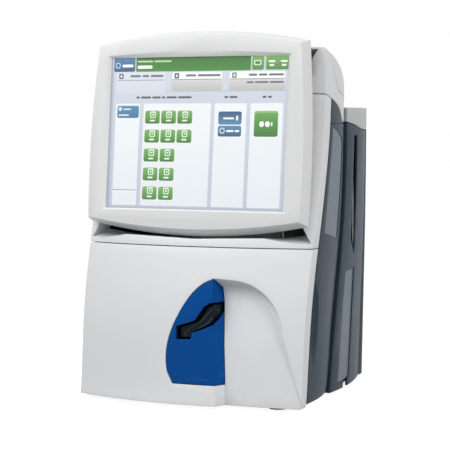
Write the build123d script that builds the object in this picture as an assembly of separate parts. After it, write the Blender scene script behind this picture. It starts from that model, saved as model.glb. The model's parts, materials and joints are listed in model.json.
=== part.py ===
from build123d import *
import math
import os

# A benchtop cartridge analyzer. All sizes are in millimetres.
# Body frame: x to the right, y to the back from the lower front corners, z up from the shell's lower edge
# Every finished piece is then set into the part's own frame, whose origin is the bottom centre.

# Driving dimensions of the shell
HALF_WIDTH = 159.75  # front corner creases at the bottom edge
RETURN_X = 156.4  # rear end of the pale side return
RETURN_Y = 22.9
WAIST_X = 124.3  # narrow waist between front body and rear housing
WAIST_Y = 146.6
SIDE_BOW = 5.0
REAR_FRONT_X = 129.0  # rear housing's front corner
REAR_FRONT_Y = 148.0
REAR_MID_X = 117.6
REAR_MID_Y = 224.7
REAR_BACK_X = 84.0
REAR_BACK_Y = 337.0
BACK_FLAT_X = 58.0
BACK_Y = 383.0
WALL = 3.0
SEAM = 0.5  # half the gap between neighbouring panels
FOOT_GAP = 4.0  # the shell hangs this far above the table
BODY_MID = 177.3  # half way from the front bulge to the fan guard

# The shell leans back: at each height, y of the bow's middle, shift of the corners and of the waist,
# and how far the corners stand out beyond their place at the bottom edge
LEVELS = (0, 75, 150, 225, 300, 375, 450)
BOW_Y = (-31.4, -22.2, -9.6, 10.1, 28.1, 38.6, 31.1)
FRONT_LEAN = (0, 7.5, 18.4, 36.9, 54.9, 65.4, 57.9)
WAIST_LEAN = (0, 15, 30, 44.5, 51, 53.5, 53)
CORNER_OUT = (0, 0.9, 1.8, 2.5, 2.5, 2.5, 2.5)
REAR_TOP = 372.0
REAR_SECTIONS = 6
BACK_CORNER_LEAN = 0.4  # the rear housing's back corners lean by this share of the waist

# Seams seen from the side as (y, z)
PANEL_SEAM_Z = 196.0
TOP_SEAM = (
    (-60, 387),
    (0, 387),
    (71, 387),
    (91.5, 382),
    (127, 372),
    (147.5, 361.6),
    (158, 355),
    (176, 352.4),
    (240, 352),
)
CAP_SEAM = ((150, 352), (210, 352), (241, 348.5), (280, 343.5), (330, 342.5), (420, 342.5))
LID_SEAM = ((88, 470), (93.5, 437), (98, 420), (106.5, 409), (113.5, 401), (121.5, 394))
LID_SEAM_REAR = (200.0, 378.0)
CROWN = (
    (20, 447.5),
    (62, 446.5),
    (92, 438.5),
    (103, 435.5),
    (122, 429),
    (140, 422.5),
    (157, 414),
    (176, 404.5),
)
CROWN_REAR = ((192, 397), (201.5, 389))

# Display unit: a tilted frame whose origin is the middle of the picture
DISPLAY_Y = 18.7
DISPLAY_Z = 339.0
DISPLAY_LEAN = 5.0
SCREEN_W = 256.0
SCREEN_H = 193.0
BEZEL_TOP_X = 145.3
BEZEL_MID_X = 153.0
BEZEL_LOW_X = 152.6
BEZEL_TOP_V = 112.6
BEZEL_APEX_V = 127.0
BEZEL_LOW_V = -109.4
BEZEL_DIP_V = -122.0
RIM_DIP = 3.2  # the rim hangs this much lower than its flare in the middle
RIM_DEPTH = 18.0
RIM_FLARE = 4.8
DISPLAY_BACK_DEPTH = 45.0
TUB_W = 262.0
TUB_H = 168.0
TUB_V = -12.0
HINGE_Y = 58.0
HINGE_Z = 425.0
PIVOT_X = 92.0

# Display pocket in the front frame
POCKET_X = 139.0
POCKET_FLARE = 13.0  # the mouth is this much wider each side than the back
POCKET_Y = 80.0
POCKET_TOP = 440.0

# Sampler: cover outline in front view as (x, z), left edge bowed, right edge in the corner of the scoop
COVER_APEX = (41.0, 156.3)
COVER_LEFT = ((27.3, 149.5), (-0.3, 116.3), (-17.1, 65.7))
COVER_FOOT = ((-14.6, 40), (-6, 26), (67, 26))
COVER_RIGHT = ((56.5, 32), (48.5, 128), (45.0, 146))
STEP_FRONT = ((56.0, -12), (37.0, 170))  # front edge of the step as (x, z)
STEP_INNER = ((59.0, -12), (44.0, 170))  # inner corner of the step
FLOOR_NEAR_Y = 21.9  # floor of the scoop beside the step, behind the bow's middle
FLOOR_MID = (102.0, 23.1)
FLOOR_FAR = (159.5, -0.4)  # its right-hand end, behind the corner
SCOOP_C = (70.0, 90.0)
SCOOP_R = 69.5
SCOOP_SLANT = 0.6  # the arc closes by this much per millimetre of depth
SCOOP_FACE = 22.0  # the face that the arc is drawn on stands this far ahead at the arc's centre
FRONT_SLOPE = 0.145  # lean of the lower front as a slope
RECESS_FRONT_X = 15.0  # vertical corner left of the hand recess
RECESS_LOW_Z = 33.0
SLOT = ((-4.5, 80.5), (-5.5, 97), (10, 101.5), (20, 105), (26, 114), (31, 122), (40, 127.5), (60, 128.5),
        (60, 121), (50, 117.5), (46, 108), (40, 99.5), (29, 93.5), (19, 89.5), (16.5, 81.5))

GUIDE_REAR_Y = 8.0
ARM_SETBACK = 8.0
ARM_REAR_Y = 46.0
PROBE_AT = (6.0, 89.0)
PROBE_R = 1.0
PROBE_TIP_Y = -16.0
CARRIAGE_X = -44.0
RAIL_R = 4.0
RAIL_Z = 62.0
SCREW_R = 3.0
SCREW_Z = 62.0
MOTOR_Y = 100.0

# Cartridge door: a vertical hinge line near the waist
DOOR_AXIS = (124.0, 140.0)
DOOR_LOW_Z = 3.6
DOOR_TOP_Z = 351.0  # level seam under a fixed strip, so that the door clears the sloping cover seam
DOOR_TOP_GAP = 0.4
DOOR_HINGES_Z = (110.0, 338.4)
HEAD_FLANGE = 8.0
PIN_R = 2.0
KNUCKLE_R = 4.2
DOOR_MESH = ((95.5, 318), (100.5, 347), (128, 341), (156, 332), (167.5, 322), (151, 203), (76, 214))
FINGER_SCOOP_AT = (164.0, 44.0, 103.0)
FINGER_SCOOP_RADII = (14.0, 27.0, 56.0)
STRIKE = (147.4, 149.4, 66.0, 84.0, 182.0, 196.0)  # x, y and z limits of the catch plate

# Vent fields of the rear housing, (y, z)
VENT_SLOT = ((226, 197), (235.5, 335), (253, 335), (249, 192), (246, 175))
LOWER_MESH = ((182, 8), (204, 155), (250, 158), (238, 12))

# Back panel and its fittings
BACK_PANEL_X = 56.0
BACK_PANEL_Z = (6.0, 341.5)
FAN_Z = 262.0
FAN_SIZE = 80.0
GUARD_WIRE = 1.4
SCREW_SHANK_R = 1.5
SCREW_HOLE_R = 1.6
INLET_AT = (32.0, 46.0)
SWITCH_AT = (3.0, 46.0)
PORTS_AT = (-28.0, 60.0)

# Boards
BOARD_X = -82.0
BOARD_POSTS_Y = (178.0, 276.0)
BOARD_POSTS_Z = (70.0, 290.0)
# Tall parts on the main board: middle as y and z, width, height and how far they stand out
BOARD_PARTS = ((210, 220, 40, 40, 8), (260, 250, 20, 60, 5), (225, 120, 50, 30, 4), (268, 100, 14, 44, 10))

# Printer
ROLL_AT = (150.0, 387.0)
ROLL_R = 22.0
ROLL_LEN = 57.0
SPINDLE_R = 6.2
PLATEN_AT = (108.0, 418.0)
PLATEN_R = 6.0
LID_HINGE = (204.8, 385.0)

# Cartridge and pump
CART_MIN = (-20.0, 54.0, 12.0)
CART_MAX = (110.0, 124.0, 180.0)
PUMP_AT = (89.0, 110.0)

TO_PART_FRAME = Pos(0, -BODY_MID, FOOT_GAP)


def save(name, *solids):
    """Set the piece into the part's frame and write its STEP."""
    moved = [TO_PART_FRAME * s for item in solids for s in item.solids()]
    shape = moved[0] if len(moved) == 1 else Compound(moved)
    shape.label = name
    export_step(shape, f"parts/{name}.step")


def block(x0, x1, y0, y1, z0, z1):
    return Pos((x0 + x1) / 2, (y0 + y1) / 2, (z0 + z1) / 2) * Box(x1 - x0, y1 - y0, z1 - z0)


def rod_x(r, x0, x1, y, z):
    return Pos((x0 + x1) / 2, y, z) * Rot(0, 90, 0) * Cylinder(r, x1 - x0)


def rod_y(r, y0, y1, x, z):
    return Pos(x, (y0 + y1) / 2, z) * Rot(90, 0, 0) * Cylinder(r, y1 - y0)


def rod_z(r, z0, z1, x, y):
    return Pos(x, y, (z0 + z1) / 2) * Cylinder(r, z1 - z0)


def mirrored(shape):
    return mirror(shape, Plane.YZ)


def side_prism(wire, half=200):
    """A region drawn in the side view (y, z), extruded across the body."""
    return extrude(Plane.YZ * make_face(wire), amount=half, both=True)


def front_prism(wire, y0, y1):
    """A region drawn in the front view (x, z), extruded from y0 to y1."""
    return Pos(0, y1, 0) * extrude(Plane.XZ * make_face(wire), amount=y1 - y0)


def lean_at(z, lean):
    for low, high, a, b in zip(LEVELS, LEVELS[1:], lean, lean[1:]):
        if z <= high:
            return a + (b - a) * (z - low) / (high - low)
    return lean[-1]


# Outer body volumes: lofts of plan sections, each inset by t for the inner face of the wall


def front_section(i, t):
    f = FRONT_LEAN[i]
    w = WAIST_LEAN[i]
    cx = HALF_WIDTH + CORNER_OUT[i] - t
    cy = f + 1.1 * t
    rx = RETURN_X + CORNER_OUT[i] - t
    ry = RETURN_Y + f
    wx = WAIST_X - t
    wy = WAIST_Y + w
    ex = wx - 1 - t
    ey = wy + 1 + 6 * t
    mx = (rx + wx) / 2 + SIDE_BOW
    my = (RETURN_Y + WAIST_Y + f + w) / 2
    outline = (
        ThreePointArc((-cx, cy), (0, BOW_Y[i] + t), (cx, cy))
        + Line((cx, cy), (rx, ry))
        + ThreePointArc((rx, ry), (mx, my), (wx, wy))
        + Polyline((wx, wy), (ex, ey), (-ex, ey), (-wx, wy))
        + ThreePointArc((-wx, wy), (-mx, my), (-rx, ry))
        + Line((-rx, ry), (-cx, cy))
    )
    return Pos(0, 0, LEVELS[i]) * make_face(outline)


def front_body(t):
    return loft([front_section(i, t) for i in range(len(LEVELS))])


def rear_section(z, t):
    w = lean_at(z, WAIST_LEAN)
    ax = REAR_FRONT_X - t
    ay = REAR_FRONT_Y + w + t
    mx = REAR_MID_X - t
    my = REAR_MID_Y + 0.75 * w
    bx = REAR_BACK_X - t
    by = REAR_BACK_Y + BACK_CORNER_LEAN * w
    cx = BACK_FLAT_X
    cy = BACK_Y - t
    kx = (bx + cx) / 2 + 7
    ky = (by + cy) / 2 + 3
    outline = (
        Line((-ax, ay), (ax, ay))
        + ThreePointArc((ax, ay), (mx, my), (bx, by))
        + ThreePointArc((bx, by), (kx, ky), (cx, cy))
        + Line((cx, cy), (-cx, cy))
        + ThreePointArc((-cx, cy), (-kx, ky), (-bx, by))
        + ThreePointArc((-bx, by), (-mx, my), (-ax, ay))
    )
    return Pos(0, 0, z) * make_face(outline)


def rear_body(t, top):
    return loft([rear_section(top * k / REAR_SECTIONS, t) for k in range(REAR_SECTIONS + 1)])


def seam_curve(y0, lean, shift):
    """A seam that follows the leaning body in the side view."""
    return Spline([(y0 + d + shift, z) for d, z in zip(lean, LEVELS)])


def ahead_of_return(shift):
    """Everything in front of the pale side return's rear end."""
    curve = seam_curve(RETURN_Y, FRONT_LEAN, shift)
    a = curve @ 0
    b = curve @ 1
    back = Polyline((b.X, b.Y), (-90, b.Y), (-90, a.Y), (a.X, a.Y))
    return side_prism(curve + back)


def ahead_of_waist(shift):
    curve = seam_curve(WAIST_Y, WAIST_LEAN, shift)
    a = curve @ 0
    b = curve @ 1
    back = Polyline((b.X, b.Y), (-90, b.Y), (-90, a.Y), (a.X, a.Y))
    return side_prism(curve + back)


def below_seam(points, shift, floor=-20):
    """Everything below a seam curve drawn in the side view."""
    curve = Spline([(y, z + shift) for y, z in points])
    a = curve @ 0
    b = curve @ 1
    return side_prism(curve + Polyline((b.X, b.Y), (b.X, floor), (a.X, floor), (a.X, a.Y)))


# The scoop, the hand recess and the display pocket: each grows by t to leave a wall behind its face


def step_x(z, edge):
    (x0, z0), (x1, z1) = edge
    return x0 + (x1 - x0) * (z - z0) / (z1 - z0)


def scoop_section(z, t, recess):
    bow = lean_at(max(z, 0), BOW_Y)
    far = lean_at(max(z, 0), FRONT_LEAN) + FLOOR_FAR[1] + t
    inner = step_x(z, STEP_INNER) - t
    front = step_x(z, STEP_FRONT) - t
    if recess:
        front = RECESS_FRONT_X - t
    near = bow + FLOOR_NEAR_Y + t
    front_y = bow + front * front / 854
    slope_x = (inner - front) / (near - front_y) * 50
    outline = (
        Polyline((200, -90), (front - slope_x, -90), (inner, near))
        + ThreePointArc((inner, near), (FLOOR_MID[0], bow + FLOOR_MID[1] + t), (FLOOR_FAR[0], far))
        + Polyline((FLOOR_FAR[0], far), (200, far + 6), (200, -90))
    )
    return Pos(0, 0, z) * make_face(outline)


def step_sections(t, recess):
    return loft([scoop_section(z, t, recess) for z in (-12, 75, 150, 170)], ruled=True)


def scoop_limit(r, drop_x):
    cx, cz = SCOOP_C
    left = -60
    outline = (
        Line((left, cz + r), (cx, cz + r))
        + ThreePointArc((cx, cz + r), (cx + r * math.sqrt(0.5), cz + r * math.sqrt(0.5)), (cx + r, cz))
        + Polyline((cx + r, cz), (cx + r + drop_x, -12), (left, -12), (left, cz + r))
    )
    return make_face(outline)


def scoop(t):
    reach = 80.0
    front = Plane.XZ.offset(reach) * scoop_limit(SCOOP_R + SCOOP_SLANT * reach + t, 40)
    back = Plane.XZ.offset(-reach / 2) * scoop_limit(SCOOP_R - SCOOP_SLANT * reach / 2 + t, 30)
    shift = FRONT_SLOPE * SCOOP_C[1] - SCOOP_FACE
    return step_sections(t, False) & (Pos(0, shift, 0) * loft([front, back], ruled=True))


def hand_recess(t):
    """The concave hollow in the blue cover, below the slot and above the cover's lip."""
    edge = [(x, z + t) for x, z in SLOT[8:]]
    low = RECESS_LOW_Z - t
    region = Polyline((-60, SLOT[-1][1] + t), (-60, low), (66, low), (66, edge[0][1]), *edge, close=True)
    return step_sections(t, True) & front_prism(region, -90, 60)


def pocket_face(y, low, rise, corner_x, corner_z, side_x, side_z, t):
    x = side_x + t
    half = ((100, low + rise - t), (corner_x + t, corner_z - t), (x, side_z - t), (x, 480))
    points = [(0, low - t)] + list(half) + [(-a, b) for a, b in reversed(half)]
    return Plane.XZ.offset(-y) * make_face(Polyline(*points, close=True))


def display_pocket(t):
    front = pocket_face(-10, 206.5, 3.5, 175, 187, POCKET_X + POCKET_FLARE, 216, t)
    back = pocket_face(POCKET_Y + t, 202, 3, POCKET_X + 0.5, 222, POCKET_X, 232, t)
    return loft([front, back], ruled=True)


# Front body pieces


def front_shells():
    outer = front_body(0)
    inner = front_body(WALL)
    return outer, inner


def cover_outline(grow):
    apex = COVER_APEX
    l1, l2, l3 = COVER_LEFT
    f1, f2, f3 = COVER_FOOT
    r1, r2, r3 = COVER_RIGHT
    g = grow
    left = Spline((apex[0], apex[1] + g), (l1[0] - g, l1[1] + g), (l2[0] - g, l2[1]), (l3[0] - g, l3[1]),
                  (f1[0] - g, f1[1]))
    low = Polyline((f1[0] - g, f1[1]), (f2[0] - g, f2[1] - g), (r1[0] + g, f3[1] - g), (r1[0] + g, r1[1]),
                   (r2[0] + g, r2[1]), (r3[0] + g, r3[1]), (apex[0], apex[1] + g))
    return left + low


def slot_prism(grow, y0, y1):
    face = make_face(Polyline(*SLOT, close=True))
    if grow:
        face = offset(face, grow)
    return Pos(0, y1, 0) * extrude(Plane.XZ * face, amount=y1 - y0)


def lower_front_panel(outer, inner):
    shape = outer - scoop(0) - (inner - scoop(WALL))
    shape = shape & ahead_of_return(-SEAM) & block(-200, 200, -90, 200, 0, PANEL_SEAM_Z - SEAM)
    return shape - front_prism(cover_outline(0.8), -90, 60)


def sampler_cover(outer, inner):
    skin = outer - scoop(0) - hand_recess(0)
    shape = skin - (inner - scoop(WALL) - hand_recess(WALL))
    shape = shape & front_prism(cover_outline(0), -90, 60)
    return shape - slot_prism(0, -60, 60)


def front_frame(outer, inner):
    shape = outer - display_pocket(0) - (inner - display_pocket(WALL))
    region = block(-200, 200, -90, 200, PANEL_SEAM_Z + SEAM, 420) & below_seam(TOP_SEAM, -SEAM)
    shape = shape & ahead_of_return(-SEAM) & region
    return shape - block(-POCKET_X, POCKET_X, POCKET_Y - 0.1, 120, 232, 420)


def side_panel(outer, inner, right):
    shell = (outer - inner) & below_seam(TOP_SEAM, -SEAM) & block(-200, 200, -90, 260, DOOR_LOW_Z, 420)
    shell = (shell - ahead_of_return(SEAM)) & ahead_of_waist(-0.2)
    half = block(0, 200, -90, 400, -10, 500) if right else block(-200, 0, -90, 400, -10, 500)
    return shell & half


def mesh_region(points):
    return side_prism(Polyline(*points, close=True))


def finger_scoop(grow):
    return Pos(*FINGER_SCOOP_AT) * scale(Sphere(1), by=tuple(r + grow for r in FINGER_SCOOP_RADII))


def door_head_strip(outer, inner):
    """Fixed strip between the door's level top edge and the top cover's curved seam."""
    low = DOOR_TOP_Z + DOOR_TOP_GAP / 2
    shape = side_panel(outer, inner, True)
    flange = (inner - (Pos(-HEAD_FLANGE, 0, 0) * inner)) & block(0, 200, 84, 176, low, low + 2)
    flange = flange & below_seam(TOP_SEAM, -SEAM)
    return (shape + flange) & block(0, 200, -90, 400, low, 420)


def cartridge_door(outer, inner):
    shape = side_panel(outer, inner, True) & block(0, 200, -90, 400, -10, DOOR_TOP_Z - DOOR_TOP_GAP / 2)
    shape = shape - mesh_region(DOOR_MESH) - finger_scoop(0)
    cup = (finger_scoop(3) - finger_scoop(0)) & block(140, 157.5, -20, 120, 30, 180)
    shape += (cup & outer) - ahead_of_return(SEAM)
    x0, x1, y0, y1, z0, z1 = STRIKE
    shape += block(x1, 158, y0, y1, z0, z1) & outer
    for z in DOOR_HINGES_Z:
        shape += door_knuckle(z) & outer
    for z in DOOR_HINGES_Z:
        shape -= rod_z(PIN_R + 0.05, z - 20, z + 40, *DOOR_AXIS)
    return shape


def door_knuckle(z):
    x, y = DOOR_AXIS
    return rod_z(KNUCKLE_R, z, z + 12, x, y) + block(x, x + 40, y - 3, y + 3, z, z + 12)


def side_mesh(outer, inner):
    """The left panel's fine mesh inset, set back a little from the panel's face."""
    left = block(-200, 0, -90, 400, -10, 460)
    return ((Pos(1.0, 0, 0) * outer) - inner) & mesh_region(DOOR_MESH) & left


def crown(t):
    top = [(y, z - t) for y, z in CROWN]
    rear = [(y - t, z - t) for y, z in CROWN_REAR]
    curve = Spline(top + rear)
    a = curve @ 0
    b = curve @ 1
    wire = curve + Polyline((b.X, b.Y), (b.X, 300), (a.X, 300), (a.X, a.Y))
    return side_prism(wire)


def top_shell(outer, inner):
    shape = (outer & crown(0)) - (inner & crown(WALL))
    shape = shape - below_seam(TOP_SEAM, SEAM)
    shape = shape - block(-POCKET_X, POCKET_X, -90, POCKET_Y, 300, POCKET_TOP)
    shape = shape - block(-200, 200, -90, 61, POCKET_TOP - 30, 470)
    shape = shape - block(-POCKET_X, POCKET_X, -90, 61, 300, 470)
    rear = block(-200, 200, 190, 260, 300, REAR_TOP + SEAM)
    return shape - rear


def lid_region(shift):
    curve = Spline([(y + shift, z + shift) for y, z in LID_SEAM])
    a = curve @ 0
    b = curve @ 1
    ry, rz = LID_SEAM_REAR
    rz += shift
    return side_prism(curve + Polyline((b.X, b.Y), (ry, rz), (260, rz), (260, a.Y), (a.X, a.Y)))


def lid_knuckle(shape, x):
    y, z = LID_HINGE
    shape += rod_x(3.2, x - 5, x + 5, y, z)
    return shape - rod_x(1.56, x - 6, x + 6, y, z)


def top_cover(shell):
    y, z = LID_HINGE
    low = REAR_TOP + SEAM + 0.1
    shape = shell - lid_region(-0.4)
    for x in (-40, 40):
        shape += block(x - 5, x + 5, y - 5.3, y + 3.2, low, z - 7.6)
        shape += block(x - 5, x + 5, y - 3.2, y + 3.2, low, z)
        shape = lid_knuckle(shape, x)
    return shape


def printer_lid(shell):
    y, z = LID_HINGE
    shape = shell & lid_region(0.4)
    slot = PLATEN_AT[0] - PLATEN_R
    shape -= block(-ROLL_LEN / 2 - 1, ROLL_LEN / 2 + 1, slot - 2, slot + 1, 380, 470)
    for x in (-52, 52):
        shape += block(x - 5, x + 5, y - 5, y, z - 3, z + 3.2)
        shape = lid_knuckle(shape, x)
    return shape


# Rear housing pieces


def rear_shells():
    return rear_body(0, REAR_TOP), rear_body(WALL, REAR_TOP)


def rear_side(outer, inner, right):
    shape = (outer - inner) & below_seam(CAP_SEAM, -SEAM)
    opening = block(-REAR_FRONT_X + 8, REAR_FRONT_X - 8, 100, 230, -10, 400)
    back = block(-BACK_PANEL_X, BACK_PANEL_X, 340, 400, -10, 400)
    shape = shape - opening - back
    shape = shape - mesh_region(VENT_SLOT) - mesh_region(LOWER_MESH)
    half = block(0, 200, 100, 420, 0, 500) if right else block(-200, 0, 100, 420, 0, 500)
    return shape & half


def rear_vent(outer, region, depth):
    """Insert of one vent field on the left side, set back by depth."""
    face = Pos(depth, 0, 0) * outer
    left = block(-200, 0, 100, 420, 0, 500)
    return (face - (Pos(1.5, 0, 0) * face)) & mesh_region(region) & left


def rear_cap(outer, inner):
    lid = Pos(0, 0, -WALL) * inner
    shape = (outer - lid) - below_seam(CAP_SEAM, SEAM)
    body_cut = block(-REAR_FRONT_X + 8, REAR_FRONT_X - 8, 100, 203.4, 300, 400)
    return (shape & block(-200, 200, 100, 420, 300, 400)) - body_cut


def rear_panel():
    z0, z1 = BACK_PANEL_Z
    shape = block(-BACK_PANEL_X + 1, BACK_PANEL_X - 1, BACK_Y - 2, BACK_Y, z0, z1)
    shape -= rod_y(FAN_SIZE / 2 - 2, BACK_Y - 5, BACK_Y + 5, 0, FAN_Z)
    ix, iz = INLET_AT
    shape -= block(ix - 14, ix + 14, BACK_Y - 5, BACK_Y + 5, iz - 10, iz + 10)
    sx, sz = SWITCH_AT
    shape -= block(sx - 7, sx + 7, BACK_Y - 5, BACK_Y + 5, sz - 10, sz + 10)
    px, pz = PORTS_AT
    shape -= block(px - 17, px + 17, BACK_Y - 5, BACK_Y + 5, pz - 27, pz + 27)
    for x, z in panel_screws():
        shape -= rod_y(SCREW_HOLE_R, BACK_Y - 5, BACK_Y + 5, x, z)
    for x, z in fan_screws():
        shape -= rod_y(SCREW_HOLE_R, BACK_Y - 5, BACK_Y + 5, x, z)
    return shape


def panel_screws():
    z0, z1 = BACK_PANEL_Z
    x = BACK_PANEL_X - 6
    return [(s * x, z) for s in (-1, 1) for z in (z0 + 8, (z0 + z1) / 2, z1 - 8)]


def fan_screws():
    d = 35.75
    return [(sx * d, FAN_Z + sz * d) for sx in (-1, 1) for sz in (-1, 1)]


def rear_screw(x, z, y_head):
    """One M3 x 8 pan-head screw, its head outwards."""
    return rod_y(3.0, y_head, y_head + 1.6, x, z) + rod_y(SCREW_SHANK_R, y_head - 8, y_head, x, z)


def rear_screws():
    panel = [rear_screw(x, z, BACK_Y) for x, z in panel_screws()]
    return panel + [rear_screw(x, z, BACK_Y + GUARD_WIRE) for x, z in fan_screws()]


def fan_frame():
    y1 = BACK_Y - 2
    h = FAN_SIZE / 2
    shape = block(-h, h, y1 - 25, y1, FAN_Z - h, FAN_Z + h) - rod_y(h - 2, y1 - 30, y1 + 5, 0, FAN_Z)
    shape += rod_y(14, y1 - 25, y1 - 22, 0, FAN_Z)
    for k in range(3):
        arm = Pos(h / 2 + 6, 0, 0) * Box(h - 10, 3, 5)
        shape += Pos(0, y1 - 23.5, FAN_Z) * Rot(0, 120 * k + 30, 0) * arm
    shape += rod_y(2.0, y1 - 22.5, y1 - 5, 0, FAN_Z)
    for x, z in fan_screws():
        shape -= rod_y(SCREW_SHANK_R + 0.05, y1 - 30, y1 + 5, x, z)
    return shape


def fan_rotor():
    y1 = BACK_Y - 2
    shape = rod_y(13, y1 - 20, y1 - 3, 0, FAN_Z)
    for k in range(7):
        blade = Pos(23.5, 0, 0) * Rot(35, 0, 0) * Box(25, 1.6, 14)
        shape += Pos(0, y1 - 12, FAN_Z) * Rot(0, k * 360 / 7, 0) * blade
    return shape - rod_y(2.05, y1 - 30, y1 - 4.5, 0, FAN_Z)


def fan_guard():
    y0 = BACK_Y
    y1 = BACK_Y + GUARD_WIRE
    shape = rod_y(37.7, y0, y1, 0, FAN_Z) - rod_y(36.3, y0 - 1, y1 + 1, 0, FAN_Z)
    for r in (28, 19, 10):
        shape += rod_y(r + 0.7, y0, y1, 0, FAN_Z) - rod_y(r - 0.7, y0 - 1, y1 + 1, 0, FAN_Z)
    for k in range(2):
        shape += Pos(0, y0 + GUARD_WIRE / 2, FAN_Z) * Rot(0, 45 + 90 * k, 0) * Box(101.1, GUARD_WIRE, 1.6)
    for x, z in fan_screws():
        shape += rod_y(3.4, y0, y1, x, z)
    for x, z in fan_screws():
        shape -= rod_y(SCREW_HOLE_R, y0 - 2, y1 + 2, x, z)
    return shape


def power_inlet():
    x, z = INLET_AT
    shape = block(x - 16, x + 16, BACK_Y, BACK_Y + 2.5, z - 12, z + 12)
    shape += block(x - 13.8, x + 13.8, BACK_Y - 22, BACK_Y + 0.5, z - 9.8, z + 9.8)
    shape -= block(x - 12, x + 12, BACK_Y - 14, BACK_Y + 5, z - 8, z + 8)
    for dx, dz in ((-7, -1), (0, 3.5), (7, -1)):
        shape += block(x + dx - 1, x + dx + 1, BACK_Y - 15, BACK_Y - 1, z + dz - 2, z + dz + 2)
    return shape


def switch_frame():
    x, z = SWITCH_AT
    shape = block(x - 9, x + 9, BACK_Y, BACK_Y + 1.5, z - 12, z + 12)
    shape += block(x - 6.9, x + 6.9, BACK_Y - 16, BACK_Y + 0.5, z - 9.9, z + 9.9)
    shape -= block(x - 5.4, x + 5.4, BACK_Y - 12, BACK_Y + 5, z - 8.5, z + 8.5)
    return shape - rod_x(ROCKER_PIN_R + 0.05, x - 6.5, x + 6.5, SWITCH_AXIS_Y, z)


SWITCH_AXIS_Y = BACK_Y - 6
ROCKER_PIN_R = 1.3


def power_rocker():
    x, z = SWITCH_AT
    y = SWITCH_AXIS_Y
    face = ((y + 8.2, z - 6.5), (y + 5.8, z), (y + 7.6, z + 7.2))
    wire = Polyline((y - 2, z - 6.4), *face, (y - 2, z + 7), close=True)
    return Pos(x, 0, 0) * side_prism(wire, 4.9) + rod_x(ROCKER_PIN_R, x - 6.4, x + 6.4, SWITCH_AXIS_Y, z)


def port_block():
    x, z = PORTS_AT
    shape = block(x - 16.8, x + 16.8, BACK_Y - 14, BACK_Y - 0.4, z - 26.8, z + 26.8)
    for dz in (-19, -7):
        for dx in (-8.5, 8.5):
            shape -= block(x + dx - 6.6, x + dx + 6.6, BACK_Y - 9, BACK_Y + 5, z + dz - 3.2, z + dz + 3.2)
    shape -= block(x - 14, x - 1, BACK_Y - 9, BACK_Y + 5, z + 4, z + 15)
    shape -= block(x + 2, x + 15, BACK_Y - 9, BACK_Y + 5, z + 4, z + 15)
    shape -= block(x - 12, x + 12, BACK_Y - 6, BACK_Y + 5, z + 18, z + 24)
    return shape


# Display unit

LEAN = math.radians(DISPLAY_LEAN)
OUT_OF_SCREEN = (0, -math.cos(LEAN), math.sin(LEAN))
DISPLAY_PLANE = Plane(origin=(0, DISPLAY_Y, DISPLAY_Z), x_dir=(1, 0, 0), z_dir=OUT_OF_SCREEN)


def bezel_outline(grow, dip=0):
    g = grow
    tx = BEZEL_TOP_X + g
    lx = BEZEL_LOW_X + g
    outline = (
        ThreePointArc((-tx, BEZEL_TOP_V + g), (0, BEZEL_APEX_V + g), (tx, BEZEL_TOP_V + g))
        + ThreePointArc((tx, BEZEL_TOP_V + g), (BEZEL_MID_X + g, 10), (lx, BEZEL_LOW_V - g))
        + ThreePointArc((lx, BEZEL_LOW_V - g), (0, BEZEL_DIP_V - g - dip), (-lx, BEZEL_LOW_V - g))
        + ThreePointArc((-lx, BEZEL_LOW_V - g), (-BEZEL_MID_X - g, 10), (-tx, BEZEL_TOP_V + g))
    )
    return make_face(outline)


def at_depth(shape, depth):
    return DISPLAY_PLANE * (Pos(0, 0, -depth) * shape)


def slab(w, h, front, back):
    return at_depth(Pos(0, 0, -(back - front) / 2) * Box(w, h, back - front), front)


def display_bezel():
    front = at_depth(bezel_outline(0), 0)
    rear = at_depth(bezel_outline(RIM_FLARE, RIM_DIP), RIM_DEPTH)
    shape = loft([front, rear], ruled=True)
    hollow_front = at_depth(bezel_outline(-5), 3.5)
    hollow_rear = at_depth(bezel_outline(RIM_FLARE - 3, RIM_DIP), RIM_DEPTH + 0.1)
    shape -= loft([hollow_front, hollow_rear], ruled=True)
    mouth = at_depth(screen_outline(4.5, 3, 2, 5), -0.1)
    throat = at_depth(screen_outline(0, 0, 0, 0.3), 3.6)
    return shape - loft([mouth, throat], ruled=True)


def screen_outline(side, top, low, arch):
    """Outline of the screen opening, with an arched top edge."""
    w = SCREEN_W / 2 + side
    high = SCREEN_H / 2 + top
    foot = -SCREEN_H / 2 - low
    lower = Polyline((-w, high), (-w, foot), (w, foot), (w, high))
    return make_face(lower + ThreePointArc((w, high), (0, high + arch), (-w, high)))


def display_gasket():
    ring = slab(SCREEN_W + 16, SCREEN_H + 16, 3.5, 4.5) - slab(SCREEN_W + 8, SCREEN_H + 8, 3, 5)
    return ring


def touch_glass():
    return slab(SCREEN_W + 16, SCREEN_H + 16, 4.5, 6.5)


def lcd_panel():
    return slab(SCREEN_W + 12, SCREEN_H + 12, 6.5, 14.0)


def display_board():
    board = slab(190, 120, 24.0, 25.6)
    for u, v, w, h, d in ((-50, 20, 30, 30, 3), (30, -20, 44, 20, 4), (60, 30, 18, 26, 6)):
        board += at_depth(Pos(u, v, -(25.6 + d / 2 - 0.1)) * Box(w, h, d + 0.2), 0)
    for su in (-1, 1):
        for sv in (-1, 1):
            board -= at_depth(Pos(su * 85, sv * 52, -25) * Cylinder(1.7, 10), 0)
    return board


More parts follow.
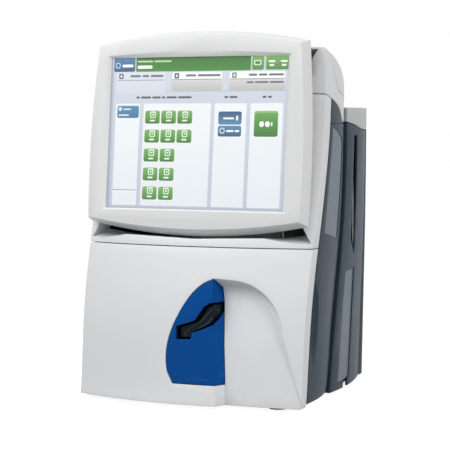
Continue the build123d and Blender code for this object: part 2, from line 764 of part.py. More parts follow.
def display_back():
    edge = at_depth(bezel_outline(RIM_FLARE - 0.4, RIM_DIP), RIM_DEPTH)
    back = at_depth(bezel_outline(RIM_FLARE - 2.4, RIM_DIP), RIM_DEPTH + 2.5)
    plate = loft([edge, back], ruled=True)
    deep = DISPLAY_BACK_DEPTH - RIM_DEPTH
    tub = at_depth(Pos(0, TUB_V, -deep / 2) * Box(TUB_W, TUB_H, deep), RIM_DEPTH)
    tub = fillet(tub.edges().filter_by(Axis((0, 0, 0), DISPLAY_PLANE.z_dir)), 12)
    hollow = at_depth(Pos(0, TUB_V, -deep / 2) * Box(TUB_W - 6, TUB_H - 6, deep), RIM_DEPTH - 3)
    shape = plate + tub - hollow
    for su in (-1, 1):
        for sv in (-1, 1):
            shape += at_depth(Pos(su * 85, sv * 52, -(25.7 + 44) / 2) * Cylinder(4, 44 - 25.7), 0)
            shape -= at_depth(Pos(su * 85, sv * 52, -30) * Cylinder(1.2, 12), 0)
    for s in (-1, 1):
        ear = block(s * PIVOT_X - 4, s * PIVOT_X + 4, HINGE_Y - 13, HINGE_Y, HINGE_Z - 6, HINGE_Z + 6)
        shape += ear + rod_x(6, s * PIVOT_X - 4, s * PIVOT_X + 4, HINGE_Y, HINGE_Z)
        shape -= rod_x(2.55, s * PIVOT_X - 6, s * PIVOT_X + 6, HINGE_Y, HINGE_Z)
    return shape


def display_board_screws():
    screws = []
    for su in (-1, 1):
        for sv in (-1, 1):
            head = at_depth(Pos(su * 85, sv * 52, -23.2) * Cylinder(3.0, 1.6), 0)
            shank = at_depth(Pos(su * 85, sv * 52, -28.0) * Cylinder(1.15, 9.0), 0)
            screws.append(head + shank)
    return screws


def bulkhead():
    """Sheet behind the display pocket that carries the display hinges."""
    shape = block(-POCKET_X + 3, POCKET_X - 3, 84, 86, 230, 436)
    shape -= block(-22, 22, 80, 90, 250, 290)
    shape += block(-POCKET_X + 3, POCKET_X - 3, 84, 100, 230, 232)
    return shape


def display_brackets():
    brackets = []
    for s in (-1, 1):
        for side in (-1, 1):
            x = s * PIVOT_X + side * 7.4
            arm = block(x - 1.5, x + 1.5, HINGE_Y, 84, HINGE_Z - 6, HINGE_Z + 6) + \
                rod_x(6, x - 1.5, x + 1.5, HINGE_Y, HINGE_Z)
            brackets.append(arm - rod_x(2.55, x - 5, x + 5, HINGE_Y, HINGE_Z))
    return brackets


def display_pins():
    return [rod_x(2.5, s * PIVOT_X - 10, s * PIVOT_X + 10, HINGE_Y, HINGE_Z) for s in (-1, 1)]


# Sampler inside the front


def slot_face(grow):
    face = make_face(Polyline(*SLOT[:7], (48, 127.8), (50, 117.5), *SLOT[10:], close=True))
    return offset(face, grow)


def slot_tube(grow, y0, y1):
    return Pos(0, y1, 0) * extrude(Plane.XZ * slot_face(grow), amount=y1 - y0)


def behind_cover(inner):
    """The space behind the cover and the scoop's wall."""
    return inner - scoop(WALL + 0.4) - hand_recess(WALL + 0.4)


def sampler_guide(inner):
    tube = slot_tube(2.2, -16, GUIDE_REAR_Y) - slot_tube(0.3, -30, 60)
    shape = tube & behind_cover(inner)
    return max(shape.solids(), key=lambda s: s.volume)


def sampler_arm(outer):
    """S-shaped bar that reaches out through the slot, with the cross bar and carriage behind it."""
    skin = Pos(0, ARM_SETBACK, 0) * (outer - scoop(0) - hand_recess(0))
    shape = slot_tube(-2.4, -30, ARM_REAR_Y) & skin
    for k in range(3):
        y = -8 + 6 * k
        shape -= slot_tube(2, y, y + 1.5) - slot_tube(-3.4, y - 1, y + 2.5)
    shape += block(CARRIAGE_X - 8, 30, ARM_REAR_Y - 10, ARM_REAR_Y, 82, 96)
    shape += block(CARRIAGE_X - 14, CARRIAGE_X + 14, ARM_REAR_Y - 10, ARM_REAR_Y + 12, 52, 96)
    shape -= rod_y(PROBE_R + 0.05, -40, ARM_REAR_Y - 2, *PROBE_AT)
    shape -= rod_y(SCREW_R + 0.05, -20, 90, CARRIAGE_X - 7, SCREW_Z)
    shape -= rod_y(RAIL_R + 0.05, -20, 90, CARRIAGE_X + 5, RAIL_Z)
    return shape


def probe():
    x, z = PROBE_AT
    return rod_y(PROBE_R, PROBE_TIP_Y, ARM_REAR_Y - 2.5, x, z)


def sampler_rail():
    """Rod that carries the arm, held by a foot at its rear end."""
    x = CARRIAGE_X + 5
    shape = rod_y(RAIL_R, 0, MOTOR_Y, x, RAIL_Z)
    shape += block(x - 8, x + 8, MOTOR_Y - 6, MOTOR_Y, 2.5, RAIL_Z + 8)
    return shape - rod_y(SCREW_R + 1, 0, 140, CARRIAGE_X - 7, SCREW_Z)


def sampler_screw():
    return rod_y(SCREW_R, 6, MOTOR_Y + 4, CARRIAGE_X - 7, SCREW_Z)


def sampler_motor():
    x = CARRIAGE_X - 7
    y = MOTOR_Y
    shape = block(x - 14, x + 14, y + 0.3, y + 24, SCREW_Z - 14, SCREW_Z + 14)
    shape += block(x - 14, x + 14, y + 0.3, y + 4, 2.5, SCREW_Z)
    return shape - rod_y(SCREW_R + 0.05, y - 5, y + 5, x, SCREW_Z)


# Cartridge door, its hinge and catch


def hinge_post():
    x, y = DOOR_AXIS
    shape = block(113, 119, 110, 128, 2.5, 346)
    for z in DOOR_HINGES_Z:
        root = ((119, 117), (114, 117), (114, 128))
        arm = Polyline(*root, (x - 2.5, y + 3), (x + 3.5, y + 1), (x + 2.5, y - 3), close=True)
        lug = Pos(0, 0, z - 5.2) * extrude(make_face(arm), amount=5)
        shape += lug
        shape -= rod_z(PIN_R, z - 10, z + 20, x, y)
    return shape


def door_pins():
    x, y = DOOR_AXIS
    return [rod_z(PIN_R, z - 5.2, z + 12.5, x, y) for z in DOOR_HINGES_Z]


def strike_plate():
    return block(*STRIKE)


def door_magnet():
    x, _, y0, y1, z0, z1 = STRIKE
    return block(x - 12, x - 0.2, y0, y1, z0, z1)


# Frame, cartridge, pump, boards


def base_plate():
    side = ((150, 6), (150, 30), (140, 82), (121, 146), (118, 152), (118, 190))
    side += ((95, 280), (78, 336), (60, 372))
    front = ((-90, -12), (-40, -22), (45, -22), (48, -3), (100, 0))
    left = [(-x, y) for x, y in reversed(side)]
    return extrude(make_face(Polyline(*front, *side, *left, close=True)), amount=2.5)


def feet():
    spots = ((-118, 22), (118, 22), (-66, 340), (66, 340))
    return [rod_z(11, -FOOT_GAP, 0, x, y) for x, y in spots]


def chassis():
    shape = block(-112, 58, 150, 152, 2.5, 344)
    shape += block(-112, 58, 150, 172, 2.5, 4.5)
    shape += block(-112, 58, 102, 196, 342, 344)
    shape += block(-112, -110, 102, 152, 200, 344)
    shape -= block(-60, 20, 140, 160, 215, 300)
    shape -= rod_y(12, 140, 160, -90, 60)
    return shape


def cartridge_bay():
    x0, y0, z0 = CART_MIN
    x1, y1, z1 = CART_MAX
    shape = block(x0 - 3, x1 - 10, y0 - 3, y1 + 3, z0 - 3, z1 + 5)
    shape -= block(x0 - 1.5, x1, y0 - 1.5, y1 + 1.5, z0 - 1.0, z1 + 3.5)
    shape -= rod_x(20, x0 - 10, x0 + 5, *PUMP_AT)
    for y in (y0 + 8, y1 - 8):
        shape += block(x0, x1 - 20, y - 4, y + 4, 2.5, z0 - 3)
    return shape


def cartridge():
    x0, y0, z0 = CART_MIN
    x1, y1, z1 = CART_MAX
    shape = block(x0, x1, y0, y1, z0 - 0.5, z1)
    shape = fillet(shape.edges().filter_by(Axis.X), 6)
    shape -= block(x1 - 12, x1 + 1, y0 + 14, y1 - 14, z1 - 60, z1 - 24)
    shape -= rod_x(21, x0 - 1, x0 + 7, *PUMP_AT)
    shape += block(x1, x1 + 1.5, y0 + 12, y1 - 12, z0 + 18, z0 + 84)
    return shape


def pump_rotor():
    y, z = PUMP_AT
    x0 = CART_MIN[0]
    shape = rod_x(6, x0 - 12, x0 + 5, y, z)
    for x in (x0 - 9, x0 + 2):
        shape += rod_x(16, x, x + 3, y, z)
    for k in range(4):
        a = math.radians(90 * k + 45)
        shape += rod_x(4.0, x0 - 7, x0 + 3, y + 12.5 * math.cos(a), z + 12.5 * math.sin(a))
    return shape - rod_x(3.05, x0 - 20, x0 + 1, y, z)


def pump_motor():
    y, z = PUMP_AT
    x0 = CART_MIN[0]
    shape = block(x0 - 52, x0 - 14, y - 21, y + 21, z - 21, z + 21)
    shape += rod_x(3.0, x0 - 15, x0, y, z)
    for dy in (-17, 17):
        for dz in (-17, 17):
            shape += rod_x(3.0, x0 - 15, x0 - 3, y + dy, z + dz)
    return shape


def power_supply():
    shape = block(-10, 60, 250, 350, 2.5, 52)
    for k in range(8):
        shape -= block(-2 + 7.5 * k, 0.5 + 7.5 * k, 262, 338, 49, 56)
    return shape


def main_board():
    x = BOARD_X
    shape = block(x, x + 1.6, 170, 284, 60, 300)
    for y, z, w, h, d in BOARD_PARTS:
        shape += block(x + 1.5, x + 1.6 + d, y - w / 2, y + w / 2, z - h / 2, z + h / 2)
    for y in BOARD_POSTS_Y:
        for z in BOARD_POSTS_Z:
            shape -= rod_x(1.6, x - 5, x + 5, y, z)
    return shape


def board_bracket():
    """Sheet that holds the main board off the chassis."""
    x = BOARD_X
    shape = block(x - 2.5, x - 1, 152, 288, 50, 310)
    shape += block(x - 14, x - 1, 152, 153.5, 50, 310)
    for y in BOARD_POSTS_Y:
        for z in BOARD_POSTS_Z:
            shape += rod_x(3.5, x - 1.2, x, y, z)
            shape -= rod_x(1.2, x - 3, x + 5, y, z)
    return shape


# Printer


def printer_frame():
    y, z = ROLL_AT
    half = ROLL_LEN / 2
    shape = block(-half - 5, half + 5, 98, 180, 344, 347)
    for s in (-1, 1):
        x = s * (half + 3.5)
        cheek = block(x - 1.5, x + 1.5, 98, 172, 346, 394) + block(x - 1.5, x + 1.5, 98, 120, 392, 424)
        cheek += rod_x(7, x - 1.5, x + 1.5, y, z)
        cheek -= block(x - 3, x + 3, y - 3.6, y + 3.6, z, 440)
        cheek -= rod_x(3.6, x - 3, x + 3, y, z)
        cheek -= rod_x(3.05, x - 3, x + 3, *PLATEN_AT)
        shape += cheek
    return shape


def paper_roll():
    y, z = ROLL_AT
    half = ROLL_LEN / 2
    return rod_x(ROLL_R, -half, half, y, z) - rod_x(SPINDLE_R + 0.05, -half - 1, half + 1, y, z)


def paper_spindle():
    y, z = ROLL_AT
    half = ROLL_LEN / 2
    return rod_x(SPINDLE_R, -half + 1, half - 1, y, z) + rod_x(3.4, -half - 7, half + 7, y, z)


def platen_roller():
    y, z = PLATEN_AT
    half = ROLL_LEN / 2
    return rod_x(PLATEN_R, -half, half, y, z) + rod_x(3.0, -half - 8, half + 12, y, z)


def print_head():
    y, z = PLATEN_AT
    half = ROLL_LEN / 2
    shape = block(-half, half, y - 9.9, y - 6.9, z - 14, z + 3)
    shape += block(-half, half, y - 9.9, y + 6, z - 17, z - 13.5)
    return shape + block(-half - 2, half + 2, y - 2, y + 4, z - 20, z - 16.5)


def lid_pins():
    y, z = LID_HINGE
    return [rod_x(1.5, s * 46 - 12, s * 46 + 12, y, z) for s in (-1, 1)]


def main():
    os.makedirs("parts", exist_ok=True)
    outer, inner = front_shells()
    save("lower_front_panel", lower_front_panel(outer, inner))
    save("sampler_cover", sampler_cover(outer, inner))
    save("front_frame", front_frame(outer, inner))
    save("cartridge_door", cartridge_door(outer, inner))
    save("door_head_strip", door_head_strip(outer, inner))
    left_mesh = side_mesh(outer, inner)
    save("cartridge_door_mesh", mirrored(left_mesh))
    save("left_side_panel", side_panel(outer, inner, False) - mesh_region(DOOR_MESH))
    save("left_side_mesh", left_mesh)
    shell = top_shell(outer, inner)
    save("top_cover", top_cover(shell))
    save("printer_lid", printer_lid(shell))
    save("sampler_guide", sampler_guide(inner))

    rear_outer, rear_inner = rear_shells()
    save("rear_side_right", rear_side(rear_outer, rear_inner, True))
    save("rear_side_left", rear_side(rear_outer, rear_inner, False))
    save("rear_cap", rear_cap(rear_outer, rear_inner))
    slot_vent = rear_vent(rear_outer, VENT_SLOT, 5.0)
    lower_vent = rear_vent(rear_outer, LOWER_MESH, 1.5)
    save("rear_slot_vents", slot_vent, mirrored(slot_vent))
    save("rear_lower_vents", lower_vent, mirrored(lower_vent))

    save("rear_panel", rear_panel())
    save("rear_screws", *rear_screws())
    save("fan_frame", fan_frame())
    save("fan_rotor", fan_rotor())
    save("fan_guard", fan_guard())
    save("power_inlet", power_inlet())
    save("switch_frame", switch_frame())
    save("power_rocker", power_rocker())
    save("port_block", port_block())

    save("display_bezel", display_bezel())
    save("display_gasket", display_gasket())
    save("touch_glass", touch_glass())
    save("lcd_panel", lcd_panel())
    save("display_board", display_board())
    save("display_board_screws", *display_board_screws())
    save("display_back", display_back())
    save("bulkhead", bulkhead())
    save("display_brackets", *display_brackets())
    save("display_pins", *display_pins())

    save("sampler_arm", sampler_arm(outer))
    save("probe", probe())
    save("sampler_rail", sampler_rail())
    save("sampler_screw", sampler_screw())
    save("sampler_motor", sampler_motor())

    save("hinge_post", hinge_post())
    save("door_pins", *door_pins())
    save("strike_plate", strike_plate())
    save("door_magnet", door_magnet())

    save("base_plate", base_plate())
    save("feet", *feet())
    save("chassis", chassis())
    save("cartridge_bay", cartridge_bay())
    save("cartridge", cartridge())
    save("pump_rotor", pump_rotor())
    save("pump_motor", pump_motor())
    save("power_supply", power_supply())
    save("main_board", main_board())
    save("board_bracket", board_bracket())

    save("printer_frame", printer_frame())
    save("paper_roll", paper_roll())
    save("paper_spindle", paper_spindle())
    save("platen_roller", platen_roller())
    save("print_head", print_head())
    save("lid_pins", *lid_pins())


main()
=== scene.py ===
"""Dressed visual model of a benchtop cartridge analyzer, laid out as a Blender add-on."""

import json
import math

import bpy
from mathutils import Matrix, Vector

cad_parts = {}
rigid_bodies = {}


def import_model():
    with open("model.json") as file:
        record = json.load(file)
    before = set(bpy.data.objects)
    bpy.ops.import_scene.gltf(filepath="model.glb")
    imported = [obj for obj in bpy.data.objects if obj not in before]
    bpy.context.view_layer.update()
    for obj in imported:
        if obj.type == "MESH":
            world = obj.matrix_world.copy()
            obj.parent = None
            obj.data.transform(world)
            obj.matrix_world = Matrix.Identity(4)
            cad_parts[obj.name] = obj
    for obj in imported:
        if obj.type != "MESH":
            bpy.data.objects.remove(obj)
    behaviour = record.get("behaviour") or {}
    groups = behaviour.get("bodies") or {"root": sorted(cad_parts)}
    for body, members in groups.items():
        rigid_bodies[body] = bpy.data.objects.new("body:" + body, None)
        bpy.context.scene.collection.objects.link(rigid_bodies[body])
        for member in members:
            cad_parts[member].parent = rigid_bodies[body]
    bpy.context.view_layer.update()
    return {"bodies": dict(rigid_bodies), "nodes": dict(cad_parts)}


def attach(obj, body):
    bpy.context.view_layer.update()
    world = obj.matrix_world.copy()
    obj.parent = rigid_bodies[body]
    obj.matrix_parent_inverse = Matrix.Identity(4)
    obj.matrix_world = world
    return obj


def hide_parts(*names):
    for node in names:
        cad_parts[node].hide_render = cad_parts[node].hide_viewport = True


bl_info = {
    "name": "Benchtop cartridge analyzer",
    "version": (1, 0, 0),
    "blender": (4, 5, 0),
    "location": "View3D > Sidebar > Analyzer",
    "description": "Finishes and small fittings of a benchtop cartridge analyzer",
    "category": "Object",
}

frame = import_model()
NODES = frame["nodes"]

MM = 0.001
BODY_MID = 177.3  # millimetres between the body's front corners and the part's middle
FOOT_GAP = 4.0

# Display plane in the part's frame: the middle of the picture, and its lean
DISPLAY_MIDDLE = (0.0, (18.7 - BODY_MID) * MM, (339.0 + FOOT_GAP) * MM)
DISPLAY_LEAN = math.radians(5.0)
SCREEN_W = 0.256
SCREEN_H = 0.193


def at(x, y, z):
    """A place given in the body's own millimetres, as a point in the part's frame in metres."""
    return Vector((x * MM, (y - BODY_MID) * MM, (z + FOOT_GAP) * MM))


# Settings that a user would change


class AnalyzerColours(bpy.types.PropertyGroup):
    shell: bpy.props.FloatVectorProperty(
        name="Shell", description="Pale moulded shell", subtype="COLOR", size=3, default=(0.69, 0.7, 0.715),
        min=0, max=1)
    bezel: bpy.props.FloatVectorProperty(
        name="Bezel", description="Display frame", subtype="COLOR", size=3, default=(0.7, 0.702, 0.707),
        min=0, max=1)
    cap: bpy.props.FloatVectorProperty(
        name="Rear cap", description="Rear housing's cap", subtype="COLOR", size=3, default=(0.5, 0.52, 0.52),
        min=0, max=1)
    slate: bpy.props.FloatVectorProperty(
        name="Slate", description="Side panels and rear housing", subtype="COLOR", size=3,
        default=(0.034, 0.056, 0.076), min=0, max=1)
    mesh: bpy.props.FloatVectorProperty(
        name="Mesh", description="Mesh insets", subtype="COLOR", size=3, default=(0.17, 0.225, 0.275),
        min=0, max=1)
    cover: bpy.props.FloatVectorProperty(
        name="Sampler cover", description="Glossy sampler cover", subtype="COLOR", size=3,
        default=(0.0, 0.062, 0.26), min=0, max=1)
    guide: bpy.props.FloatVectorProperty(
        name="Sampler guide", description="Dark glossy guide in the sampler slot", subtype="COLOR", size=3,
        default=(0.002, 0.009, 0.016), min=0, max=1)


class AnalyzerStage(bpy.types.PropertyGroup):
    camera_x: bpy.props.FloatProperty(
        name="Camera X", description="Camera place, across", unit="LENGTH", default=1.216)
    camera_y: bpy.props.FloatProperty(
        name="Camera Y", description="Camera place, front to back", unit="LENGTH", default=-2.3353)
    camera_z: bpy.props.FloatProperty(
        name="Camera Z", description="Camera place, height", unit="LENGTH", default=0.362)
    camera_turn: bpy.props.FloatProperty(
        name="Camera turn", description="Turn about the upright", subtype="ANGLE",
        default=math.radians(28.29))
    camera_dip: bpy.props.FloatProperty(
        name="Camera dip", description="How far it looks down", subtype="ANGLE", default=math.radians(3.11))
    lens: bpy.props.FloatProperty(
        name="Lens", description="Focal length", unit="CAMERA", default=157.4)
    floor_size: bpy.props.FloatProperty(
        name="Floor size", description="Side of the floor", unit="LENGTH", default=24.0)


# Small helpers for node trees


class Tree:
    """Places nodes in a tree and links them, so that a material reads from input to output."""

    def __init__(self, tree):
        self.tree = tree
        self.count = 0

    def node(self, kind, **values):
        n = self.tree.nodes.new(kind)
        n.location = (-1200 + 180 * (self.count % 8), 300 - 220 * (self.count // 8))
        self.count += 1
        for key, value in values.items():
            setattr(n, key, value)
        return n

    def put(self, socket, value):
        if isinstance(value, bpy.types.NodeSocket):
            self.tree.links.new(value, socket)
        else:
            socket.default_value = value

    def math(self, operation, a, b=0.0, c=None, clamp=False):
        n = self.node("ShaderNodeMath", operation=operation, use_clamp=clamp)
        self.put(n.inputs[0], a)
        self.put(n.inputs[1], b)
        if c is not None:
            self.put(n.inputs[2], c)
        return n.outputs[0]

    def vector(self, operation, a, b=(0, 0, 0), c=None):
        n = self.node("ShaderNodeVectorMath", operation=operation)
        self.put(n.inputs[0], a)
        self.put(n.inputs[1], b)
        if c is not None:
            self.put(n.inputs[2], c)
        return n.outputs[0]

    def mix(self, factor, a, b, blend="MIX"):
        n = self.node("ShaderNodeMix", data_type="RGBA", blend_type=blend)
        self.put(n.inputs["Factor"], factor)
        self.put(n.inputs[6], a)
        self.put(n.inputs[7], b)
        return n.outputs[2]

    def group(self, group, **values):
        n = self.node("ShaderNodeGroup")
        n.node_tree = group
        for key, value in values.items():
            self.put(n.inputs[key], value)
        return n


def new_group(name, inputs, outputs):
    """An empty shader node group with named sockets: (name, kind, default)."""
    tree = bpy.data.node_groups.new(name, "ShaderNodeTree")
    for label, kind, default in inputs:
        s = tree.interface.new_socket(name=label, in_out="INPUT", socket_type=kind)
        s.default_value = default
    for label, kind in outputs:
        tree.interface.new_socket(name=label, in_out="OUTPUT", socket_type=kind)
    t = Tree(tree)
    return t, t.node("NodeGroupInput"), t.node("NodeGroupOutput")


def rgba(colour):
    return (colour[0], colour[1], colour[2], 1.0)


# Shared effects


def moulded_grain():
    """Fine spark-eroded grain of moulded plastic, with slow drifts of tone."""
    if "Moulded grain" in bpy.data.node_groups:
        return bpy.data.node_groups["Moulded grain"]
    t, given, result = new_group(
        "Moulded grain",
        [("Colour", "NodeSocketColor", (0.8, 0.8, 0.8, 1)), ("Grain size", "NodeSocketFloat", 2600.0),
         ("Drift", "NodeSocketFloat", 0.03), ("Roughness", "NodeSocketFloat", 0.4)],
        [("Colour", "NodeSocketColor"), ("Roughness", "NodeSocketFloat"), ("Height", "NodeSocketFloat")])
    place = t.node("ShaderNodeTexCoord").outputs["Object"]
    grain = t.node("ShaderNodeTexNoise")
    grain.inputs["Detail"].default_value = 3.0
    t.put(grain.inputs["Vector"], place)
    t.put(grain.inputs["Scale"], given.outputs["Grain size"])
    slow = t.node("ShaderNodeTexNoise")
    slow.inputs["Scale"].default_value = 9.0
    slow.inputs["Detail"].default_value = 4.0
    t.put(slow.inputs["Vector"], place)
    swing = t.math("SUBTRACT", slow.outputs["Fac"], 0.5)
    tone = t.math("MULTIPLY_ADD", swing, given.outputs["Drift"], 1.0)
    shade = t.node("ShaderNodeVectorMath", operation="SCALE")
    t.put(shade.inputs[0], given.outputs["Colour"])
    t.put(shade.inputs["Scale"], tone)
    t.put(result.inputs["Colour"], shade.outputs[0])
    worn = t.math("MULTIPLY_ADD", swing, 0.18, given.outputs["Roughness"])
    t.put(result.inputs["Roughness"], worn)
    t.put(result.inputs["Height"], grain.outputs["Fac"])
    return t.tree


def brushed_lines():
    """Lines and mottle of rolled or drawn metal."""
    if "Brushed lines" in bpy.data.node_groups:
        return bpy.data.node_groups["Brushed lines"]
    t, given, result = new_group(
        "Brushed lines",
        [("Colour", "NodeSocketColor", (0.6, 0.6, 0.6, 1)), ("Stretch", "NodeSocketVector", (30, 900, 900)),
         ("Roughness", "NodeSocketFloat", 0.35)],
        [("Colour", "NodeSocketColor"), ("Roughness", "NodeSocketFloat"), ("Height", "NodeSocketFloat")])
    place = t.node("ShaderNodeTexCoord").outputs["Object"]
    scaled = t.node("ShaderNodeVectorMath", operation="MULTIPLY")
    t.put(scaled.inputs[0], place)
    t.put(scaled.inputs[1], given.outputs["Stretch"])
    lines = t.node("ShaderNodeTexNoise")
    lines.inputs["Scale"].default_value = 1.0
    lines.inputs["Detail"].default_value = 3.0
    t.put(lines.inputs["Vector"], scaled.outputs[0])
    mottle = t.node("ShaderNodeTexNoise")
    mottle.inputs["Scale"].default_value = 55.0
    t.put(mottle.inputs["Vector"], place)
    swing = t.math("SUBTRACT", lines.outputs["Fac"], 0.5)
    drift = t.math("SUBTRACT", mottle.outputs["Fac"], 0.5)
    tone = t.math("MULTIPLY_ADD", swing, 0.16, t.math("MULTIPLY_ADD", drift, 0.14, 1.0))
    shade = t.node("ShaderNodeVectorMath", operation="SCALE")
    t.put(shade.inputs[0], given.outputs["Colour"])
    t.put(shade.inputs["Scale"], tone)
    t.put(result.inputs["Colour"], shade.outputs[0])
    t.put(result.inputs["Roughness"], t.math("MULTIPLY_ADD", drift, 0.2, given.outputs["Roughness"]))
    t.put(result.inputs["Height"], lines.outputs["Fac"])
    return t.tree


def punched_mesh():
    """Staggered round holes in the side view, as a mask for dark dots of painted shade with sunk edges."""
    if "Punched mesh" in bpy.data.node_groups:
        return bpy.data.node_groups["Punched mesh"]
    t, given, result = new_group(
        "Punched mesh",
        [("Pitch", "NodeSocketFloat", 0.0016), ("Hole", "NodeSocketFloat", 0.3)],
        [("Hole mask", "NodeSocketFloat")])
    place = t.node("ShaderNodeTexCoord").outputs["Object"]
    split = t.node("ShaderNodeSeparateXYZ")
    t.put(split.inputs[0], place)
    row = t.math("DIVIDE", split.outputs["Z"], t.math("MULTIPLY", given.outputs["Pitch"], 0.866))
    shift = t.math("MULTIPLY", t.math("FLOORED_MODULO", t.math("FLOOR", row), 2.0), 0.5)
    column = t.math("ADD", t.math("DIVIDE", split.outputs["Y"], given.outputs["Pitch"]), shift)
    du = t.math("SUBTRACT", t.math("FRACT", column), 0.5)
    dv = t.math("MULTIPLY", t.math("SUBTRACT", t.math("FRACT", row), 0.5), 0.866)
    far = t.math("SQRT", t.math("ADD", t.math("MULTIPLY", du, du), t.math("MULTIPLY", dv, dv)))
    edge = t.node("ShaderNodeMapRange", interpolation_type="SMOOTHSTEP")
    t.put(edge.inputs["Value"], far)
    t.put(edge.inputs["From Min"], t.math("ADD", given.outputs["Hole"], 0.06))
    t.put(edge.inputs["From Max"], t.math("SUBTRACT", given.outputs["Hole"], 0.06))
    t.put(result.inputs["Hole mask"], edge.outputs["Result"])
    return t.tree


# Materials

POLISHED_GRAIN = 700.0
POLISHED_DEPTH = 0.00001


def finish_material(name):
    """A material with a principled shader, and the helper for its tree."""
    m = bpy.data.materials.new(name)
    m.use_nodes = True
    shader = m.node_tree.nodes["Principled BSDF"]
    shader.location = (700, 200)
    m.node_tree.nodes["Material Output"].location = (1000, 200)
    return m, Tree(m.node_tree), shader


def add_bump(t, shader, height, strength, distance, edge_radius=0.0):
    bump = t.node("ShaderNodeBump")
    bump.inputs["Strength"].default_value = strength
    bump.inputs["Distance"].default_value = distance
    t.put(bump.inputs["Height"], height)
    if edge_radius:
        soft = t.node("ShaderNodeBevel", samples=4)
        soft.inputs["Radius"].default_value = edge_radius
        t.put(bump.inputs["Normal"], soft.outputs["Normal"])
    t.put(shader.inputs["Normal"], bump.outputs["Normal"])


def moulded_plastic(name, colour, roughness=0.42, grain=2600.0, drift=0.03, depth=0.00004, edge=0.0008,
                    shine=0.35):
    m, t, shader = finish_material(name)
    grained = t.group(moulded_grain(), **{
        "Colour": rgba(colour), "Grain size": grain, "Drift": drift, "Roughness": roughness})
    t.put(shader.inputs["Base Color"], grained.outputs["Colour"])
    t.put(shader.inputs["Roughness"], grained.outputs["Roughness"])
    shader.inputs["Specular IOR Level"].default_value = shine
    add_bump(t, shader, grained.outputs["Height"], 0.25, depth, edge)
    return m


def metal(name, colour, roughness=0.32, stretch=(30, 900, 900), depth=0.00003, metallic=1.0):
    m, t, shader = finish_material(name)
    lines = t.group(brushed_lines(), **{"Colour": rgba(colour), "Stretch": stretch, "Roughness": roughness})
    t.put(shader.inputs["Base Color"], lines.outputs["Colour"])
    t.put(shader.inputs["Roughness"], lines.outputs["Roughness"])
    shader.inputs["Metallic"].default_value = metallic
    add_bump(t, shader, lines.outputs["Height"], 0.3, depth, 0.0003)
    return m


def mesh_material(name, colour):
    m, t, shader = finish_material(name)
    grained = t.group(moulded_grain(), **{"Colour": rgba(colour), "Grain size": 1500.0, "Drift": 0.1,
                                          "Roughness": 0.45})
    holes = t.group(punched_mesh(), **{"Pitch": 0.0018, "Hole": 0.3})
    mask = holes.outputs["Hole mask"]
    # The holes are painted shade: dark dots stand for the shadowed inside seen through the perforations.
    dark = t.mix(mask, grained.outputs["Colour"], (0.02, 0.026, 0.032, 1))
    t.put(shader.inputs["Base Color"], dark)
    t.put(shader.inputs["Roughness"], t.math("MULTIPLY_ADD", mask, 0.3, grained.outputs["Roughness"]))
    add_bump(t, shader, t.math("SUBTRACT", 1.0, mask), 0.6, 0.0002)
    return m


def assign(material, *nodes):
    for name in nodes:
        mesh = NODES[name].data
        mesh.materials.clear()
        mesh.materials.append(material)


def clear_selection():
    if bpy.context.object and bpy.context.object.mode != "OBJECT":
        bpy.ops.object.mode_set(mode="OBJECT")
    bpy.ops.object.select_all(action="DESELECT")


# Shell parts with rounded edges

SOFT_ANGLE = math.radians(28)
EDGE_RADIUS = 0.6 * MM
COVER_EDGE_RADIUS = 0.9 * MM


def body_of_node(node):
    for body, empty in frame["bodies"].items():
        if NODES[node].parent == empty:
            return body
    raise RuntimeError("no body carries " + node)


def clean_copy(node, name):
    """A copy of a CAD node's mesh with its loose triangles merged, as the active object."""
    clear_selection()
    piece = bpy.data.objects.new(name, NODES[node].data.copy())
    bpy.context.scene.collection.objects.link(piece)
    bpy.context.view_layer.objects.active = piece
    piece.select_set(True)
    bpy.ops.object.mode_set(mode="EDIT")
    bpy.ops.mesh.select_all(action="SELECT")
    bpy.ops.mesh.remove_doubles(threshold=0.000002)
    bpy.ops.mesh.dissolve_limited(angle_limit=math.radians(0.2))
    bpy.ops.object.mode_set(mode="OBJECT")
    return piece


def softened(node, radius, material, clamp=False):
    """A copy of a shell part with rounded edges, which stands for the CAD part."""
    piece = clean_copy(node, "soft_" + node)
    rounding = piece.modifiers.new("round", "BEVEL")
    rounding.width = radius
    rounding.segments = 3
    rounding.limit_method = "ANGLE"
    rounding.angle_limit = SOFT_ANGLE
    rounding.use_clamp_overlap = clamp
    bpy.ops.object.modifier_apply(modifier="round")
    bpy.ops.object.shade_smooth_by_angle(angle=SOFT_ANGLE)
    piece.data.materials.clear()
    piece.data.materials.append(material)
    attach(piece, body_of_node(node))
    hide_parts(node)
    return piece


# Small fittings, built in edit mode


def start_piece(name):
    """An empty mesh object at the origin, open in edit mode."""
    clear_selection()
    piece = bpy.data.objects.new(name, bpy.data.meshes.new(name))
    bpy.context.scene.collection.objects.link(piece)
    bpy.context.view_layer.objects.active = piece
    piece.select_set(True)
    bpy.ops.object.mode_set(mode="EDIT")
    return piece


def add_block(lo, hi):
    """A block between two corners, in body millimetres."""
    middle = (at(*lo) + at(*hi)) / 2
    size = at(*hi) - at(*lo)
    bpy.ops.mesh.primitive_cube_add(size=1, location=middle, scale=size)


def add_can(middle, radius, length, axis="Z", sides=28):
    """A round can about its middle, in body millimetres."""
    turn = {"X": (0, math.pi / 2, 0), "Y": (math.pi / 2, 0, 0), "Z": (0, 0, 0)}[axis]
    bpy.ops.mesh.primitive_cylinder_add(vertices=sides, radius=radius * MM, depth=length * MM,
                                        location=at(*middle), rotation=turn)


